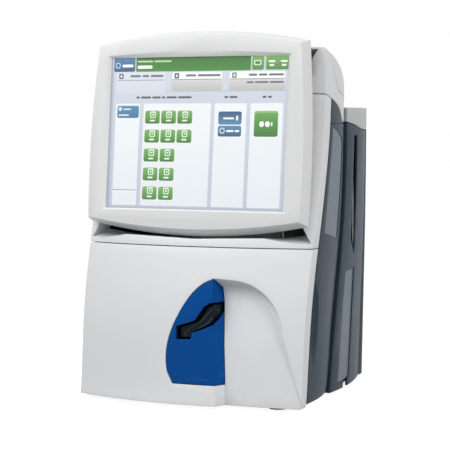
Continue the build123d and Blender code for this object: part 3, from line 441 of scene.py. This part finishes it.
def close_piece(piece, body, material, edge=0.15, sharp=50):
    """Rounds the sharp edges, shades the piece, and puts it on its body."""
    bpy.ops.mesh.select_mode(type="EDGE")
    bpy.ops.mesh.select_all(action="DESELECT")
    bpy.ops.mesh.edges_select_sharp(sharpness=math.radians(sharp))
    bpy.ops.mesh.bevel(offset=edge * MM, segments=2, affect="EDGES")
    bpy.ops.mesh.select_all(action="SELECT")
    bpy.ops.mesh.normals_make_consistent(inside=False)
    bpy.ops.object.mode_set(mode="OBJECT")
    bpy.ops.object.shade_smooth_by_angle(angle=math.radians(35))
    piece.data.materials.append(bpy.data.materials[material])
    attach(piece, body)


def front_of(node, x, z):
    """Where a line from the front meets a node, at a place given in body millimetres."""
    start = at(x, -200, z)
    found = NODES[node].ray_cast(start, Vector((0, 1, 0)))
    if not found[0]:
        raise RuntimeError("nothing of " + node + " in front view there")
    return found[1]


RIDGE_LOW = ((12.0, 83.5), (14.6, 91.5), (26.5, 96.4), (36.6, 102.6), (42.2, 110.4), (45.2, 119.4))
RIDGE_MID = ((4.6, 83.5), (8.2, 94.4), (21.5, 100.0), (30.4, 107.6), (35.6, 116.2), (43.6, 122.6))
RIDGE_R = 0.75


def arm_ridge(name, points):
    """Rounded ridge along the face of the sampler arm, following the S of the slot; its lighter teal is a
    painted highlight.
    """
    clear_selection()
    curve = bpy.data.curves.new(name, "CURVE")
    curve.dimensions = "3D"
    curve.bevel_depth = RIDGE_R * MM
    curve.bevel_resolution = 4
    curve.use_fill_caps = True
    run = curve.splines.new("NURBS")
    run.points.add(len(points) - 1)
    for point, (x, z) in zip(run.points, points):
        point.co = (*front_of("sampler_arm", x, z), 1.0)
    run.order_u = 4
    run.use_endpoint_u = True
    run.resolution_u = 10
    piece = bpy.data.objects.new(name, curve)
    bpy.context.scene.collection.objects.link(piece)
    bpy.context.view_layer.objects.active = piece
    piece.select_set(True)
    bpy.ops.object.convert(target="MESH")
    bpy.ops.object.shade_smooth()
    piece.data.materials.clear()
    piece.data.materials.append(bpy.data.materials["guide ridge"])
    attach(piece, "sampler")


BOARD_FACE_X = -80.4
BOARD_FIRST = (176, 66)  # y and z of the first small part
SMALL_ROWS = 26
SMALL_COLUMNS = 12
SMALL_PITCH = (8.8, 8.9)  # along y, and up
SMALL_SINK = 0.1
SMALL_HEIGHT = 0.7
SMALL_HALF = 0.5


def board_small_parts():
    """Chip resistors and capacitors in ragged rows over the main board."""
    piece = start_piece("board_small_parts")
    for row in range(SMALL_ROWS):
        for column in range(SMALL_COLUMNS):
            if (row * 7 + column * 5) % 4 == 0:
                continue
            y = BOARD_FIRST[0] + column * SMALL_PITCH[0] + (row % 3) * 1.4
            z = BOARD_FIRST[1] + row * SMALL_PITCH[1] + (column % 2) * 2.1
            long_way = 1.0 if (row + column) % 3 else 0.55
            add_block((BOARD_FACE_X - SMALL_SINK, y - long_way, z - SMALL_HALF),
                      (BOARD_FACE_X + SMALL_HEIGHT, y + long_way, z + SMALL_HALF))
    close_piece(piece, "housing", "black plastic", 0.08)


PORTS_AT = (-28.0, 60.0)  # x and z of the port block's middle
PORT_FLOOR_Y = 373.9  # just inside the floor of the ports


def port_contacts():
    """Contact strips in the ports on the back."""
    x, z = PORTS_AT
    piece = start_piece("port_contacts")
    for dz in (-19, -7):
        for dx in (-8.5, 8.5):
            for k in range(6):
                px = x + dx - 4.5 + 1.8 * k
                add_block((px - 0.35, PORT_FLOOR_Y, z + dz - 0.5), (px + 0.35, 381.0, z + dz + 0.5))
    for dx in (-7.5, 8.5):
        for k in range(8):
            px = x + dx - 4.2 + 1.2 * k
            add_block((px - 0.25, PORT_FLOOR_Y, z + 12.4), (px + 0.25, 380.5, z + 13.2))
    close_piece(piece, "housing", "contact metal", 0.1)


def supply_fittings():
    """Screw heads and terminal block on the power supply."""
    piece = start_piece("supply_screws")
    for x in (-4, 54):
        for y in (255, 345):
            add_can((x, y, 52.6), 2.6, 1.6)
    close_piece(piece, "housing", "machined steel", 0.4)
    piece = start_piece("supply_terminals")
    for k in range(5):
        add_block((6 + 9 * k, 244.5, 30), (13.6 + 9 * k, 250.2, 40))
        add_can((9.8 + 9 * k, 244.6, 35), 2.4, 1.2, "Y", 20)
    close_piece(piece, "housing", "black plastic", 0.4)


def motor_fittings():
    """Screw heads on the rear face of the sampler motor."""
    piece = start_piece("sampler_motor_plate")
    for x in (-61.5, -40.5):
        for z in (51.5, 72.5):
            add_can((x, 124.6, z), 1.6, 1.6, "Y", 20)
    close_piece(piece, "housing", "machined steel", 0.3)


FAN_HUB = (0, 377.6, 262)
HUB_CAP_R = 11.0


def fan_fittings():
    """Hub cap on the fan's rotor."""
    piece = start_piece("fan_hub_cap")
    add_can(FAN_HUB, HUB_CAP_R, 1.6, "Y", 48)
    close_piece(piece, "fan", "black plastic", 0.5)


class ANALYZER_OT_fittings(bpy.types.Operator):
    """Small fittings: arm ridges, board parts, contacts, screws and the fan's hub cap"""

    bl_idname = "analyzer.fittings"
    bl_label = "Small fittings"

    def execute(self, context):
        arm_ridge("arm_ridge_low", RIDGE_LOW)
        arm_ridge("arm_ridge_mid", RIDGE_MID)
        board_small_parts()
        port_contacts()
        supply_fittings()
        motor_fittings()
        fan_fittings()
        return {"FINISHED"}


# The stage

SKY_LIGHT = 0.42  # the world's strength for diffuse light; the camera and mirrors see plain white
FLOOR_TONE = (0.36, 0.36, 0.36, 1)
FLOOR_LIFT = 0.84  # added to the floor for the camera, so that only the shadow is darker than white


def seen_rays(t):
    """1 for the rays by which the camera sees a surface, straight or through glass or a mirror."""
    path = t.node("ShaderNodeLightPath")
    return t.math("MAXIMUM", path.outputs["Is Camera Ray"],
                  t.math("MAXIMUM", path.outputs["Is Glossy Ray"], path.outputs["Is Transmission Ray"]))


def soft_box(name, place, aim, size, power, colour=(1, 1, 1)):
    lamp = bpy.data.lights.new(name, "AREA")
    lamp.shape = "RECTANGLE"
    lamp.size = size[0]
    lamp.size_y = size[1]
    lamp.energy = power
    lamp.color = colour
    o = bpy.data.objects.new(name, lamp)
    o.location = place
    o.rotation_euler = (Vector(aim) - Vector(place)).to_track_quat("-Z", "Y").to_euler()
    bpy.context.scene.collection.objects.link(o)


class ANALYZER_OT_stage(bpy.types.Operator):
    """Camera, lamps, floor and white world"""

    bl_idname = "analyzer.stage"
    bl_label = "Stage"

    def execute(self, context):
        s = context.scene.analyzer_stage
        scene = context.scene
        scene.view_settings.view_transform = "Standard"
        self.floor(s)
        self.world(scene)
        lens = bpy.data.cameras.new("camera")
        lens.lens = s.lens
        lens.sensor_width = 36.0
        lens.clip_start = 0.05
        lens.clip_end = 60.0
        cam = bpy.data.objects.new("camera", lens)
        cam.location = (s.camera_x, s.camera_y, s.camera_z)
        cam.rotation_euler = (math.pi / 2 - s.camera_dip, 0.0, s.camera_turn)
        scene.collection.objects.link(cam)
        scene.camera = cam
        soft_box("key", (-0.8, -1.05, 1.5), (0, -0.1, 0.46), (1.0, 1.0), 20)
        soft_box("front", (0.3, -2.0, 1.5), (0, 0, 0.45), (1.5, 1.0), 6)
        soft_box("side", (2.1, -0.8, 1.2), (0.1, 0, 0.42), (0.9, 1.2), 25)
        return {"FINISHED"}

    def floor(self, s):
        clear_selection()
        bpy.ops.mesh.primitive_plane_add(size=s.floor_size, location=(0, 0, 0))
        floor = bpy.context.object
        floor.name = "floor"
        m, t, shader = finish_material("pale floor")
        shader.inputs["Base Color"].default_value = FLOOR_TONE
        shader.inputs["Roughness"].default_value = 0.9
        shader.inputs["Specular IOR Level"].default_value = 0.1
        seen = seen_rays(t)
        shader.inputs["Emission Color"].default_value = (1, 1, 1, 1)
        t.put(shader.inputs["Emission Strength"], t.math("MULTIPLY", seen, FLOOR_LIFT))
        floor.data.materials.append(m)

    def world(self, scene):
        w = bpy.data.worlds.new("studio")
        scene.world = w
        w.use_nodes = True
        t = Tree(w.node_tree)
        back = w.node_tree.nodes["Background"]
        back.inputs["Color"].default_value = (1, 1, 1, 1)
        seen = seen_rays(t)
        t.put(back.inputs["Strength"], t.math("MULTIPLY_ADD", seen, 1.0 - SKY_LIGHT, SKY_LIGHT))


class ANALYZER_OT_shell(bpy.types.Operator):
    """Finish of the pale shell, the side panels and the rear housing"""

    bl_idname = "analyzer.shell"
    bl_label = "Shell finishes"

    def execute(self, context):
        c = context.scene.analyzer_colours
        pale = moulded_plastic("pale shell", c.shell)
        bezel = moulded_plastic("display frame plastic", c.bezel, roughness=0.38)
        cap = moulded_plastic("cap plastic", c.cap, roughness=0.45)
        slate = moulded_plastic("slate panel", c.slate, roughness=0.4, grain=2200.0, drift=0.08, shine=0.04)
        finishes = (
            (pale, ("lower_front_panel", "front_frame", "top_cover", "printer_lid")),
            (bezel, ("display_bezel", "display_back")),
            (cap, ("rear_cap",)),
            (slate, ("cartridge_door", "door_head_strip", "left_side_panel", "rear_side_right",
                     "rear_side_left")))
        for material, nodes in finishes:
            assign(material, *nodes)
            for node in nodes:
                softened(node, EDGE_RADIUS, material)
        assign(mesh_material("slate mesh", c.mesh),
               "cartridge_door_mesh", "left_side_mesh", "rear_lower_vents")
        return {"FINISHED"}


class ANALYZER_OT_sampler(bpy.types.Operator):
    """Finish of the sampler cover, its guide and the parts of its drive"""

    bl_idname = "analyzer.sampler"
    bl_label = "Sampler finishes"

    def execute(self, context):
        c = context.scene.analyzer_colours
        polished = {"grain": POLISHED_GRAIN, "depth": POLISHED_DEPTH}
        # The ridges' lighter teal is a painted highlight: it stands for the gloss along them on the dark
        # guide.
        moulded_plastic("guide ridge", (0.004, 0.03, 0.05), roughness=0.15, drift=0.1, shine=0.5, **polished)
        assign(moulded_plastic("blue cover", c.cover, roughness=0.22, drift=0.05, shine=0.08, **polished),
               "sampler_cover")
        assign(moulded_plastic("dark guide", c.guide, roughness=0.12, drift=0.1, shine=0.12, **polished),
               "sampler_guide", "sampler_arm", "rear_slot_vents")
        softened("sampler_cover", COVER_EDGE_RADIUS, bpy.data.materials["blue cover"], clamp=True)
        return {"FINISHED"}


class ANALYZER_OT_inside(bpy.types.Operator):
    """Finish of the metal, boards and mechanisms inside and on the back"""

    bl_idname = "analyzer.inside"
    bl_label = "Inside finishes"

    def execute(self, context):
        assign(metal("zinc sheet", (0.55, 0.56, 0.57), 0.42, (60, 60, 500)),
               "rear_panel", "bulkhead", "hinge_post", "base_plate", "chassis", "board_bracket")
        assign(metal("machined steel", (0.56, 0.56, 0.57), 0.28, (400, 60, 400)),
               "rear_screws", "display_board_screws", "display_brackets", "display_pins",
               "sampler_rail", "sampler_screw", "door_pins", "strike_plate", "lid_pins")
        metal("contact metal", (0.75, 0.58, 0.28), 0.25, (300, 60, 300))
        assign(metal("dark steel", (0.05, 0.05, 0.055), 0.4, (400, 60, 400)), "probe")
        assign(metal("plated wire", (0.7, 0.7, 0.71), 0.14, (300, 300, 300)), "fan_guard")
        assign(metal("satin aluminium", (0.66, 0.66, 0.67), 0.34, (40, 700, 700)),
               "power_supply", "print_head")
        assign(moulded_plastic("black plastic", (0.018, 0.018, 0.02), 0.5, drift=0.2),
               "fan_frame", "fan_rotor", "power_inlet", "switch_frame", "port_block", "power_rocker",
               "sampler_motor", "door_magnet", "cartridge_bay", "pump_motor", "printer_frame",
               "paper_spindle")
        assign(moulded_plastic("dark rubber", (0.02, 0.02, 0.02), 0.75, 900.0, 0.25, 0.0001),
               "feet", "display_gasket", "platen_roller")
        assign(moulded_plastic("cartridge plastic", (0.6, 0.63, 0.66), 0.3, drift=0.06),
               "cartridge", "pump_rotor")
        assign(moulded_plastic("board lacquer", (0.02, 0.12, 0.05), 0.35, 1200.0, 0.3),
               "main_board", "display_board")
        assign(moulded_plastic("thermal paper", (0.86, 0.85, 0.82), 0.7, 1800.0, 0.04), "paper_roll")
        return {"FINISHED"}


# The screen page: rounded panels laid over each other, in metres from the picture's middle

PAGE = (0.57, 0.63, 0.72)
PAGE_EDGE = (0.36, 0.41, 0.49)
PAPER = (0.8, 0.84, 0.87)
WHITE = (0.93, 0.94, 0.94)
TAB_FOOT = (0.49, 0.49, 0.49)
INK = (0.07, 0.08, 0.09)
GREEN_DARK = (0.012, 0.13, 0.003)
GREEN = (0.032, 0.235, 0.006)
GREEN_PALE = (0.2, 0.44, 0.12)
BLUE_DARK = (0.003, 0.07, 0.18)
BLUE = (0.02, 0.15, 0.32)
BLUE_PALE = (0.07, 0.24, 0.42)
BUTTON_ROW_COUNT = 5
FULL_ROWS = 2  # rows of three buttons; the others have two
BUTTON_PITCH = (23.8, 24.4)
BUTTON_FIRST = (51.3, 67.2)


def page_panel():
    """One rounded rectangle laid over the colour so far, shaded from its foot to its head."""
    if "Page panel" in bpy.data.node_groups:
        return bpy.data.node_groups["Page panel"]
    t, given, result = new_group(
        "Page panel",
        [("Colour", "NodeSocketColor", (0, 0, 0, 1)), ("Place", "NodeSocketVector", (0, 0, 0)),
         ("Middle", "NodeSocketVector", (0, 0, 0)), ("Straight", "NodeSocketVector", (0, 0, 1)),
         ("Corner", "NodeSocketFloat", 0.001), ("Soft", "NodeSocketFloat", 0.00015),
         ("Foot", "NodeSocketColor", (0, 0, 0, 1)), ("Head", "NodeSocketColor", (1, 1, 1, 1)),
         ("Foot height", "NodeSocketFloat", 0.0), ("Head height", "NodeSocketFloat", 1.0)],
        [("Colour", "NodeSocketColor"), ("Place", "NodeSocketVector")])
    off = t.vector("SUBTRACT", given.outputs["Place"], given.outputs["Middle"])
    past = t.vector("SUBTRACT", t.vector("ABSOLUTE", off), given.outputs["Straight"])
    far = t.node("ShaderNodeVectorMath", operation="LENGTH")
    t.put(far.inputs[0], t.vector("MAXIMUM", past, (0, 0, 0)))
    edge = t.node("ShaderNodeMapRange")
    t.put(edge.inputs["Value"], far.outputs["Value"])
    t.put(edge.inputs["From Min"], t.math("ADD", given.outputs["Corner"], given.outputs["Soft"]))
    t.put(edge.inputs["From Max"], t.math("SUBTRACT", given.outputs["Corner"], given.outputs["Soft"]))
    split = t.node("ShaderNodeSeparateXYZ")
    t.put(split.inputs[0], given.outputs["Place"])
    rise = t.node("ShaderNodeMapRange")
    t.put(rise.inputs["Value"], split.outputs["Y"])
    t.put(rise.inputs["From Min"], given.outputs["Foot height"])
    t.put(rise.inputs["From Max"], given.outputs["Head height"])
    face = t.mix(rise.outputs["Result"], given.outputs["Foot"], given.outputs["Head"])
    t.put(result.inputs["Colour"], t.mix(edge.outputs["Result"], given.outputs["Colour"], face))
    # A billionth of the mask keeps the panels in order when the tree is compiled
    t.put(result.inputs["Place"], t.vector("MULTIPLY_ADD", edge.outputs["Result"], (1e-9, 1e-9, 0),
                                           given.outputs["Place"]))
    return t.tree


class Page:
    """Lays panels on a page whose places are given in millimetres from its top left corner."""

    def __init__(self, t, place, colour):
        self.t = t
        self.place = place
        self.colour = colour

    def panel(self, x0, x1, y0, y1, corner, foot, head=None, soft=0.15):
        half = Vector(((x1 - x0) / 2, (y1 - y0) / 2, 0)) * MM
        middle = Vector(((x0 + x1) / 2 * MM - SCREEN_W / 2, SCREEN_H / 2 - (y0 + y1) / 2 * MM, 0))
        round_off = max(corner, 2 * soft) * MM
        g = self.t.group(page_panel(), **{
            "Colour": self.colour, "Place": self.place, "Middle": middle,
            "Straight": (half.x - round_off, half.y - round_off, 1.0), "Corner": round_off, "Soft": soft * MM,
            "Foot": rgba(foot), "Head": rgba(head or foot),
            "Foot height": middle.y - half.y, "Head height": middle.y + half.y})
        self.colour = g.outputs["Colour"]
        self.place = g.outputs["Place"]

    def line(self, x0, x1, y, thick, colour):
        self.panel(x0, x1, y - thick / 2, y + thick / 2, 0, colour)

    def words(self, x0, x1, y, height, colour, lengths):
        """A plain bar for each word, so that no lettering is drawn."""
        x = x0
        scale = (x1 - x0) / (sum(lengths) + 0.8 * (len(lengths) - 1))
        for n in lengths:
            self.panel(x, x + n * scale, y - height / 2, y + height / 2, height * 0.4, colour)
            x += (n + 0.8) * scale


def top_bar(page):
    page.panel(0, 256, -3, 17.4, 0, (0.6, 0.62, 0.7))
    page.panel(1.6, 33.2, -3, 16.8, 2.5, BLUE_DARK, BLUE_PALE)
    page.panel(4, 11, 5, 12.4, 2, (0.45, 0.62, 0.72))
    page.panel(5.4, 9.6, 6.4, 11, 1.2, BLUE)
    page.words(14, 30.5, 9.2, 3.6, WHITE, (6,))
    page.panel(34.8, 201.8, -4, 16.9, 1.2, GREEN, (0.02, 0.13, 0.008))
    page.words(37, 87, 3.8, 2.2, (0.5, 0.7, 0.4), (9, 10))
    page.words(37, 59, 11, 4.2, WHITE, (5,))
    for x0, x1 in ((203.6, 220.2), (223, 256)):
        page.panel(x0, x1, -3, 16.2, 2.5, GREEN, GREEN_PALE)
    page.panel(206, 216.5, 4, 10.5, 2, (0.72, 0.84, 0.66))
    page.panel(207.6, 215, 5.4, 9.2, 1.2, GREEN)
    for x in (226.5, 243.5):
        page.words(x, x + 9.5, 5.8, 2.2, WHITE, (5,))
        page.words(x + 1.5, x + 8, 10.6, 2.4, WHITE, (3,))


def tabs(page):
    page.line(0, 256, 42.6, 0.7, (0.42, 0.45, 0.5))
    page.panel(6.2, 79, 17.8, 46, 3, PAGE, (0.72, 0.77, 0.84), 0.4)
    page.panel(7, 78.2, 18.8, 46, 2.6, (0.62, 0.67, 0.75), (0.7, 0.75, 0.83), 0.4)
    for x0, x1 in ((88.6, 162), (172, 251)):
        page.panel(x0, x1, 17.8, 42.2, 3, TAB_FOOT, (0.74, 0.74, 0.74), 0.35)
        page.panel(x0 + 0.6, x1 - 0.6, 18.2, 27.3, 2.6, WHITE, WHITE, 0.3)
        page.line(x0 + 1.5, x1 - 2, 27.4, 0.8, (0.16, 0.16, 0.17))
    page.line(7.5, 77.5, 27.9, 0.7, (0.14, 0.15, 0.17))
    page.words(26.5, 76, 22.6, 2.8, (0.14, 0.15, 0.17), (5, 3, 6))
    page.words(109, 159, 22.4, 2.8, (0.14, 0.15, 0.17), (5, 11))
    page.words(199.5, 248.5, 22.4, 2.8, (0.14, 0.15, 0.17), (4, 4, 7))
    page.words(197, 248.5, 31.8, 2.0, INK, (4, 8, 8))
    for x, dark in ((9.6, (0.12, 0.13, 0.15)), (92.2, INK), (175.6, (0.2, 0.2, 0.21))):
        page.panel(x, x + 6.8, 19.2, 26.2, 1.2, dark)
        page.panel(x + 2, x + 4.8, 21, 24.4, 1.2, PAPER)


def columns(page):
    for x0, x1 in ((6.5, 43), (48.4, 147.4), (152.6, 198.4), (203.6, 249.6)):
        page.panel(x0 - 0.5, x1 + 0.5, 57.6, 190, 2, (0.42, 0.47, 0.56), (0.5, 0.55, 0.64), 0.5)
        page.panel(x0, x1, 58, 189.4, 1.6, (0.74, 0.79, 0.83), (0.84, 0.87, 0.89), 0.3)
    page.words(37, 118.5, 50.3, 2.6, INK, (2, 6, 5, 2, 6, 8))
    page.words(166, 184.5, 50.3, 2.6, INK, (2, 4))
    page.words(220, 233, 50.3, 2.6, INK, (2, 2))
    page.line(7.2, 42.4, 169.8, 0.9, (0.17, 0.17, 0.18))
    page.line(7.2, 42.4, 171, 0.9, WHITE)


def green_buttons(page):
    """Twelve buttons in one evaluation: the place is folded into one cell of their grid."""
    t = page.t
    kept_place = page.place
    split = t.node("ShaderNodeSeparateXYZ")
    t.put(split.inputs[0], page.place)
    px, py = (k * MM for k in BUTTON_PITCH)
    u0 = BUTTON_FIRST[0] * MM - SCREEN_W / 2 - 0.8 * MM
    v0 = SCREEN_H / 2 - BUTTON_FIRST[1] * MM + 0.8 * MM
    cu = t.math("DIVIDE", t.math("SUBTRACT", split.outputs["X"], u0), px)
    cv = t.math("DIVIDE", t.math("SUBTRACT", v0, split.outputs["Y"]), py)
    column = t.math("FLOOR", cu)
    row = t.math("FLOOR", cv)
    allowed = t.math("SUBTRACT", 2.5, t.math("GREATER_THAN", row, FULL_ROWS - 0.5))
    inside = t.math("MULTIPLY", t.math("LESS_THAN", column, allowed), t.math("GREATER_THAN", column, -0.5))
    inside = t.math("MULTIPLY", inside, t.math("GREATER_THAN", row, -0.5))
    inside = t.math("MULTIPLY", inside, t.math("LESS_THAN", row, BUTTON_ROW_COUNT - 0.5))
    folded = t.node("ShaderNodeCombineXYZ")
    t.put(folded.inputs["X"], t.math("MULTIPLY_ADD", t.math("SUBTRACT", cu, column), px, u0))
    t.put(folded.inputs["Y"], t.math("SUBTRACT", v0, t.math("MULTIPLY", t.math("SUBTRACT", cv, row), py)))
    under = page.colour
    x, y = BUTTON_FIRST
    cell = Page(t, folded.outputs[0], under)
    cell.panel(x - 0.6, x + 22.4, y - 0.6, y + 17.4, 3.4, WHITE, WHITE, 0.4)
    cell.panel(x, x + 21.8, y, y + 16.8, 2.8, GREEN_DARK, GREEN_PALE, 0.25)
    cell.panel(x + 0.8, x + 21, y + 1.4, y + 14.6, 2.2, GREEN, (0.14, 0.4, 0.07), 0.4)
    cell.panel(x + 7.4, x + 15.6, y + 1.2, y + 9.6, 1.8, (0.7, 0.86, 0.62), WHITE, 0.2)
    cell.panel(x + 8.8, x + 14.2, y + 2.6, y + 8.2, 1.1, GREEN, (0.14, 0.4, 0.07), 0.2)
    cell.panel(x + 10.3, x + 12.9, y + 4.2, y + 6.6, 0.9, (0.7, 0.86, 0.62), WHITE, 0.2)
    cell.panel(x + 7.2, x + 14.6, y + 11.8, y + 14.0, 0.9, (0.62, 0.8, 0.55), WHITE, 0.2)
    page.colour = t.mix(inside, under, cell.colour)
    page.place = kept_place


def other_buttons(page):
    page.panel(8, 42.6, 60, 77.6, 3.4, WHITE, WHITE, 0.4)
    page.panel(9, 41.6, 60.8, 76.8, 2.8, BLUE, BLUE_PALE, 0.25)
    page.panel(11, 15.8, 62.6, 67.6, 1.2, (0.6, 0.76, 0.85))
    page.words(18, 29.5, 65.4, 2, (0.6, 0.76, 0.85), (5,))
    page.words(11.2, 26.5, 73, 2.2, (0.6, 0.76, 0.85), (6,))
    page.panel(157.6, 192.6, 67.4, 101, 3.4, WHITE, WHITE, 0.4)
    page.panel(158.4, 191.8, 68.4, 85.2, 2.8, BLUE_PALE, BLUE_DARK, 0.25)
    page.panel(158.4, 191.8, 86.4, 100.2, 2.8, BLUE_DARK, BLUE_PALE, 0.25)
    page.words(165.5, 181, 77.2, 2.2, WHITE, (6,))
    page.panel(184, 186.6, 73.6, 80, 1.2, WHITE)
    page.panel(160.8, 168.4, 89, 96.6, 3.6, (0.6, 0.76, 0.85))
    page.panel(162.2, 167, 90.4, 95.2, 2.2, BLUE)
    page.words(170.6, 188.8, 93.2, 2.4, WHITE, (5, 3))
    page.panel(208.4, 244.2, 66.6, 101.2, 3.6, WHITE, WHITE, 0.4)
    page.panel(209.4, 243.2, 67.6, 100.2, 3, GREEN_DARK, (0.28, 0.53, 0.2), 0.25)
    page.panel(210.4, 242.2, 70.4, 96, 2.4, (0.02, 0.2, 0.004), (0.11, 0.35, 0.06), 0.9)
    page.words(217, 235.4, 84.4, 7, WHITE, (3, 3, 1))


def screen_material():
    m, t, shader = finish_material("lit screen page")
    place = t.node("ShaderNodeMapping", vector_type="TEXTURE")
    place.inputs["Location"].default_value = DISPLAY_MIDDLE
    place.inputs["Rotation"].default_value = (math.pi / 2 - DISPLAY_LEAN, 0, 0)
    t.put(place.inputs["Vector"], t.node("ShaderNodeTexCoord").outputs["Object"])
    flat = t.vector("MULTIPLY", place.outputs[0], (1, 1, 0))
    page = Page(t, flat, rgba(PAGE_EDGE))
    page.panel(0.5, 255.5, 0, 192.5, 2, (0.4, 0.45, 0.53), PAGE, 2.4)
    page.panel(2.5, 253.5, 10, 191, 2, (0.48, 0.54, 0.63), (0.62, 0.67, 0.75), 2.0)
    tabs(page)
    top_bar(page)
    columns(page)
    green_buttons(page)
    other_buttons(page)
    t.put(shader.inputs["Base Color"], t.mix(1.0, page.colour, (0.08, 0.08, 0.08, 1), "MULTIPLY"))
    t.put(shader.inputs["Emission Color"], page.colour)
    shader.inputs["Emission Strength"].default_value = 0.95
    shader.inputs["Roughness"].default_value = 0.3
    return m


def glass_material():
    m, t, shader = finish_material("touch glass")
    smudge = t.group(moulded_grain(), **{"Colour": (1, 1, 1, 1), "Grain size": 40.0, "Drift": 0.02,
                                         "Roughness": 0.03})
    t.put(shader.inputs["Base Color"], smudge.outputs["Colour"])
    shader.inputs["Roughness"].default_value = 0.03
    shader.inputs["Alpha"].default_value = 0.06
    shader.inputs["IOR"].default_value = 1.45
    return m


class ANALYZER_OT_display(bpy.types.Operator):
    """Lit page on the display panel and the clear glass over it"""

    bl_idname = "analyzer.display"
    bl_label = "Display finishes"

    def execute(self, context):
        assign(screen_material(), "lcd_panel")
        assign(glass_material(), "touch_glass")
        return {"FINISHED"}


OPERATORS = (ANALYZER_OT_shell, ANALYZER_OT_sampler, ANALYZER_OT_inside, ANALYZER_OT_display,
             ANALYZER_OT_fittings, ANALYZER_OT_stage)


class ANALYZER_PT_panel(bpy.types.Panel):
    bl_idname = "ANALYZER_PT_panel"
    bl_label = "Analyzer"
    bl_space_type = "VIEW_3D"
    bl_region_type = "UI"
    bl_category = "Analyzer"

    def draw(self, context):
        layout = self.layout
        for settings in (context.scene.analyzer_colours, context.scene.analyzer_stage):
            box = layout.box()
            for name in settings.bl_rna.properties.keys():
                if name not in ("rna_type", "name"):
                    box.prop(settings, name)
        for operator in OPERATORS:
            layout.operator(operator.bl_idname)


CLASSES = (AnalyzerColours, AnalyzerStage) + OPERATORS + (ANALYZER_PT_panel,)


def register():
    for c in CLASSES:
        bpy.utils.register_class(c)
    bpy.types.Scene.analyzer_colours = bpy.props.PointerProperty(type=AnalyzerColours)
    bpy.types.Scene.analyzer_stage = bpy.props.PointerProperty(type=AnalyzerStage)


def unregister():
    del bpy.types.Scene.analyzer_colours
    del bpy.types.Scene.analyzer_stage
    for c in reversed(CLASSES):
        bpy.utils.unregister_class(c)


def main():
    register()
    bpy.ops.analyzer.shell()
    bpy.ops.analyzer.sampler()
    bpy.ops.analyzer.inside()
    bpy.ops.analyzer.display()
    bpy.ops.analyzer.fittings()
    bpy.ops.analyzer.stage()


if __name__ == "__main__":
    main()
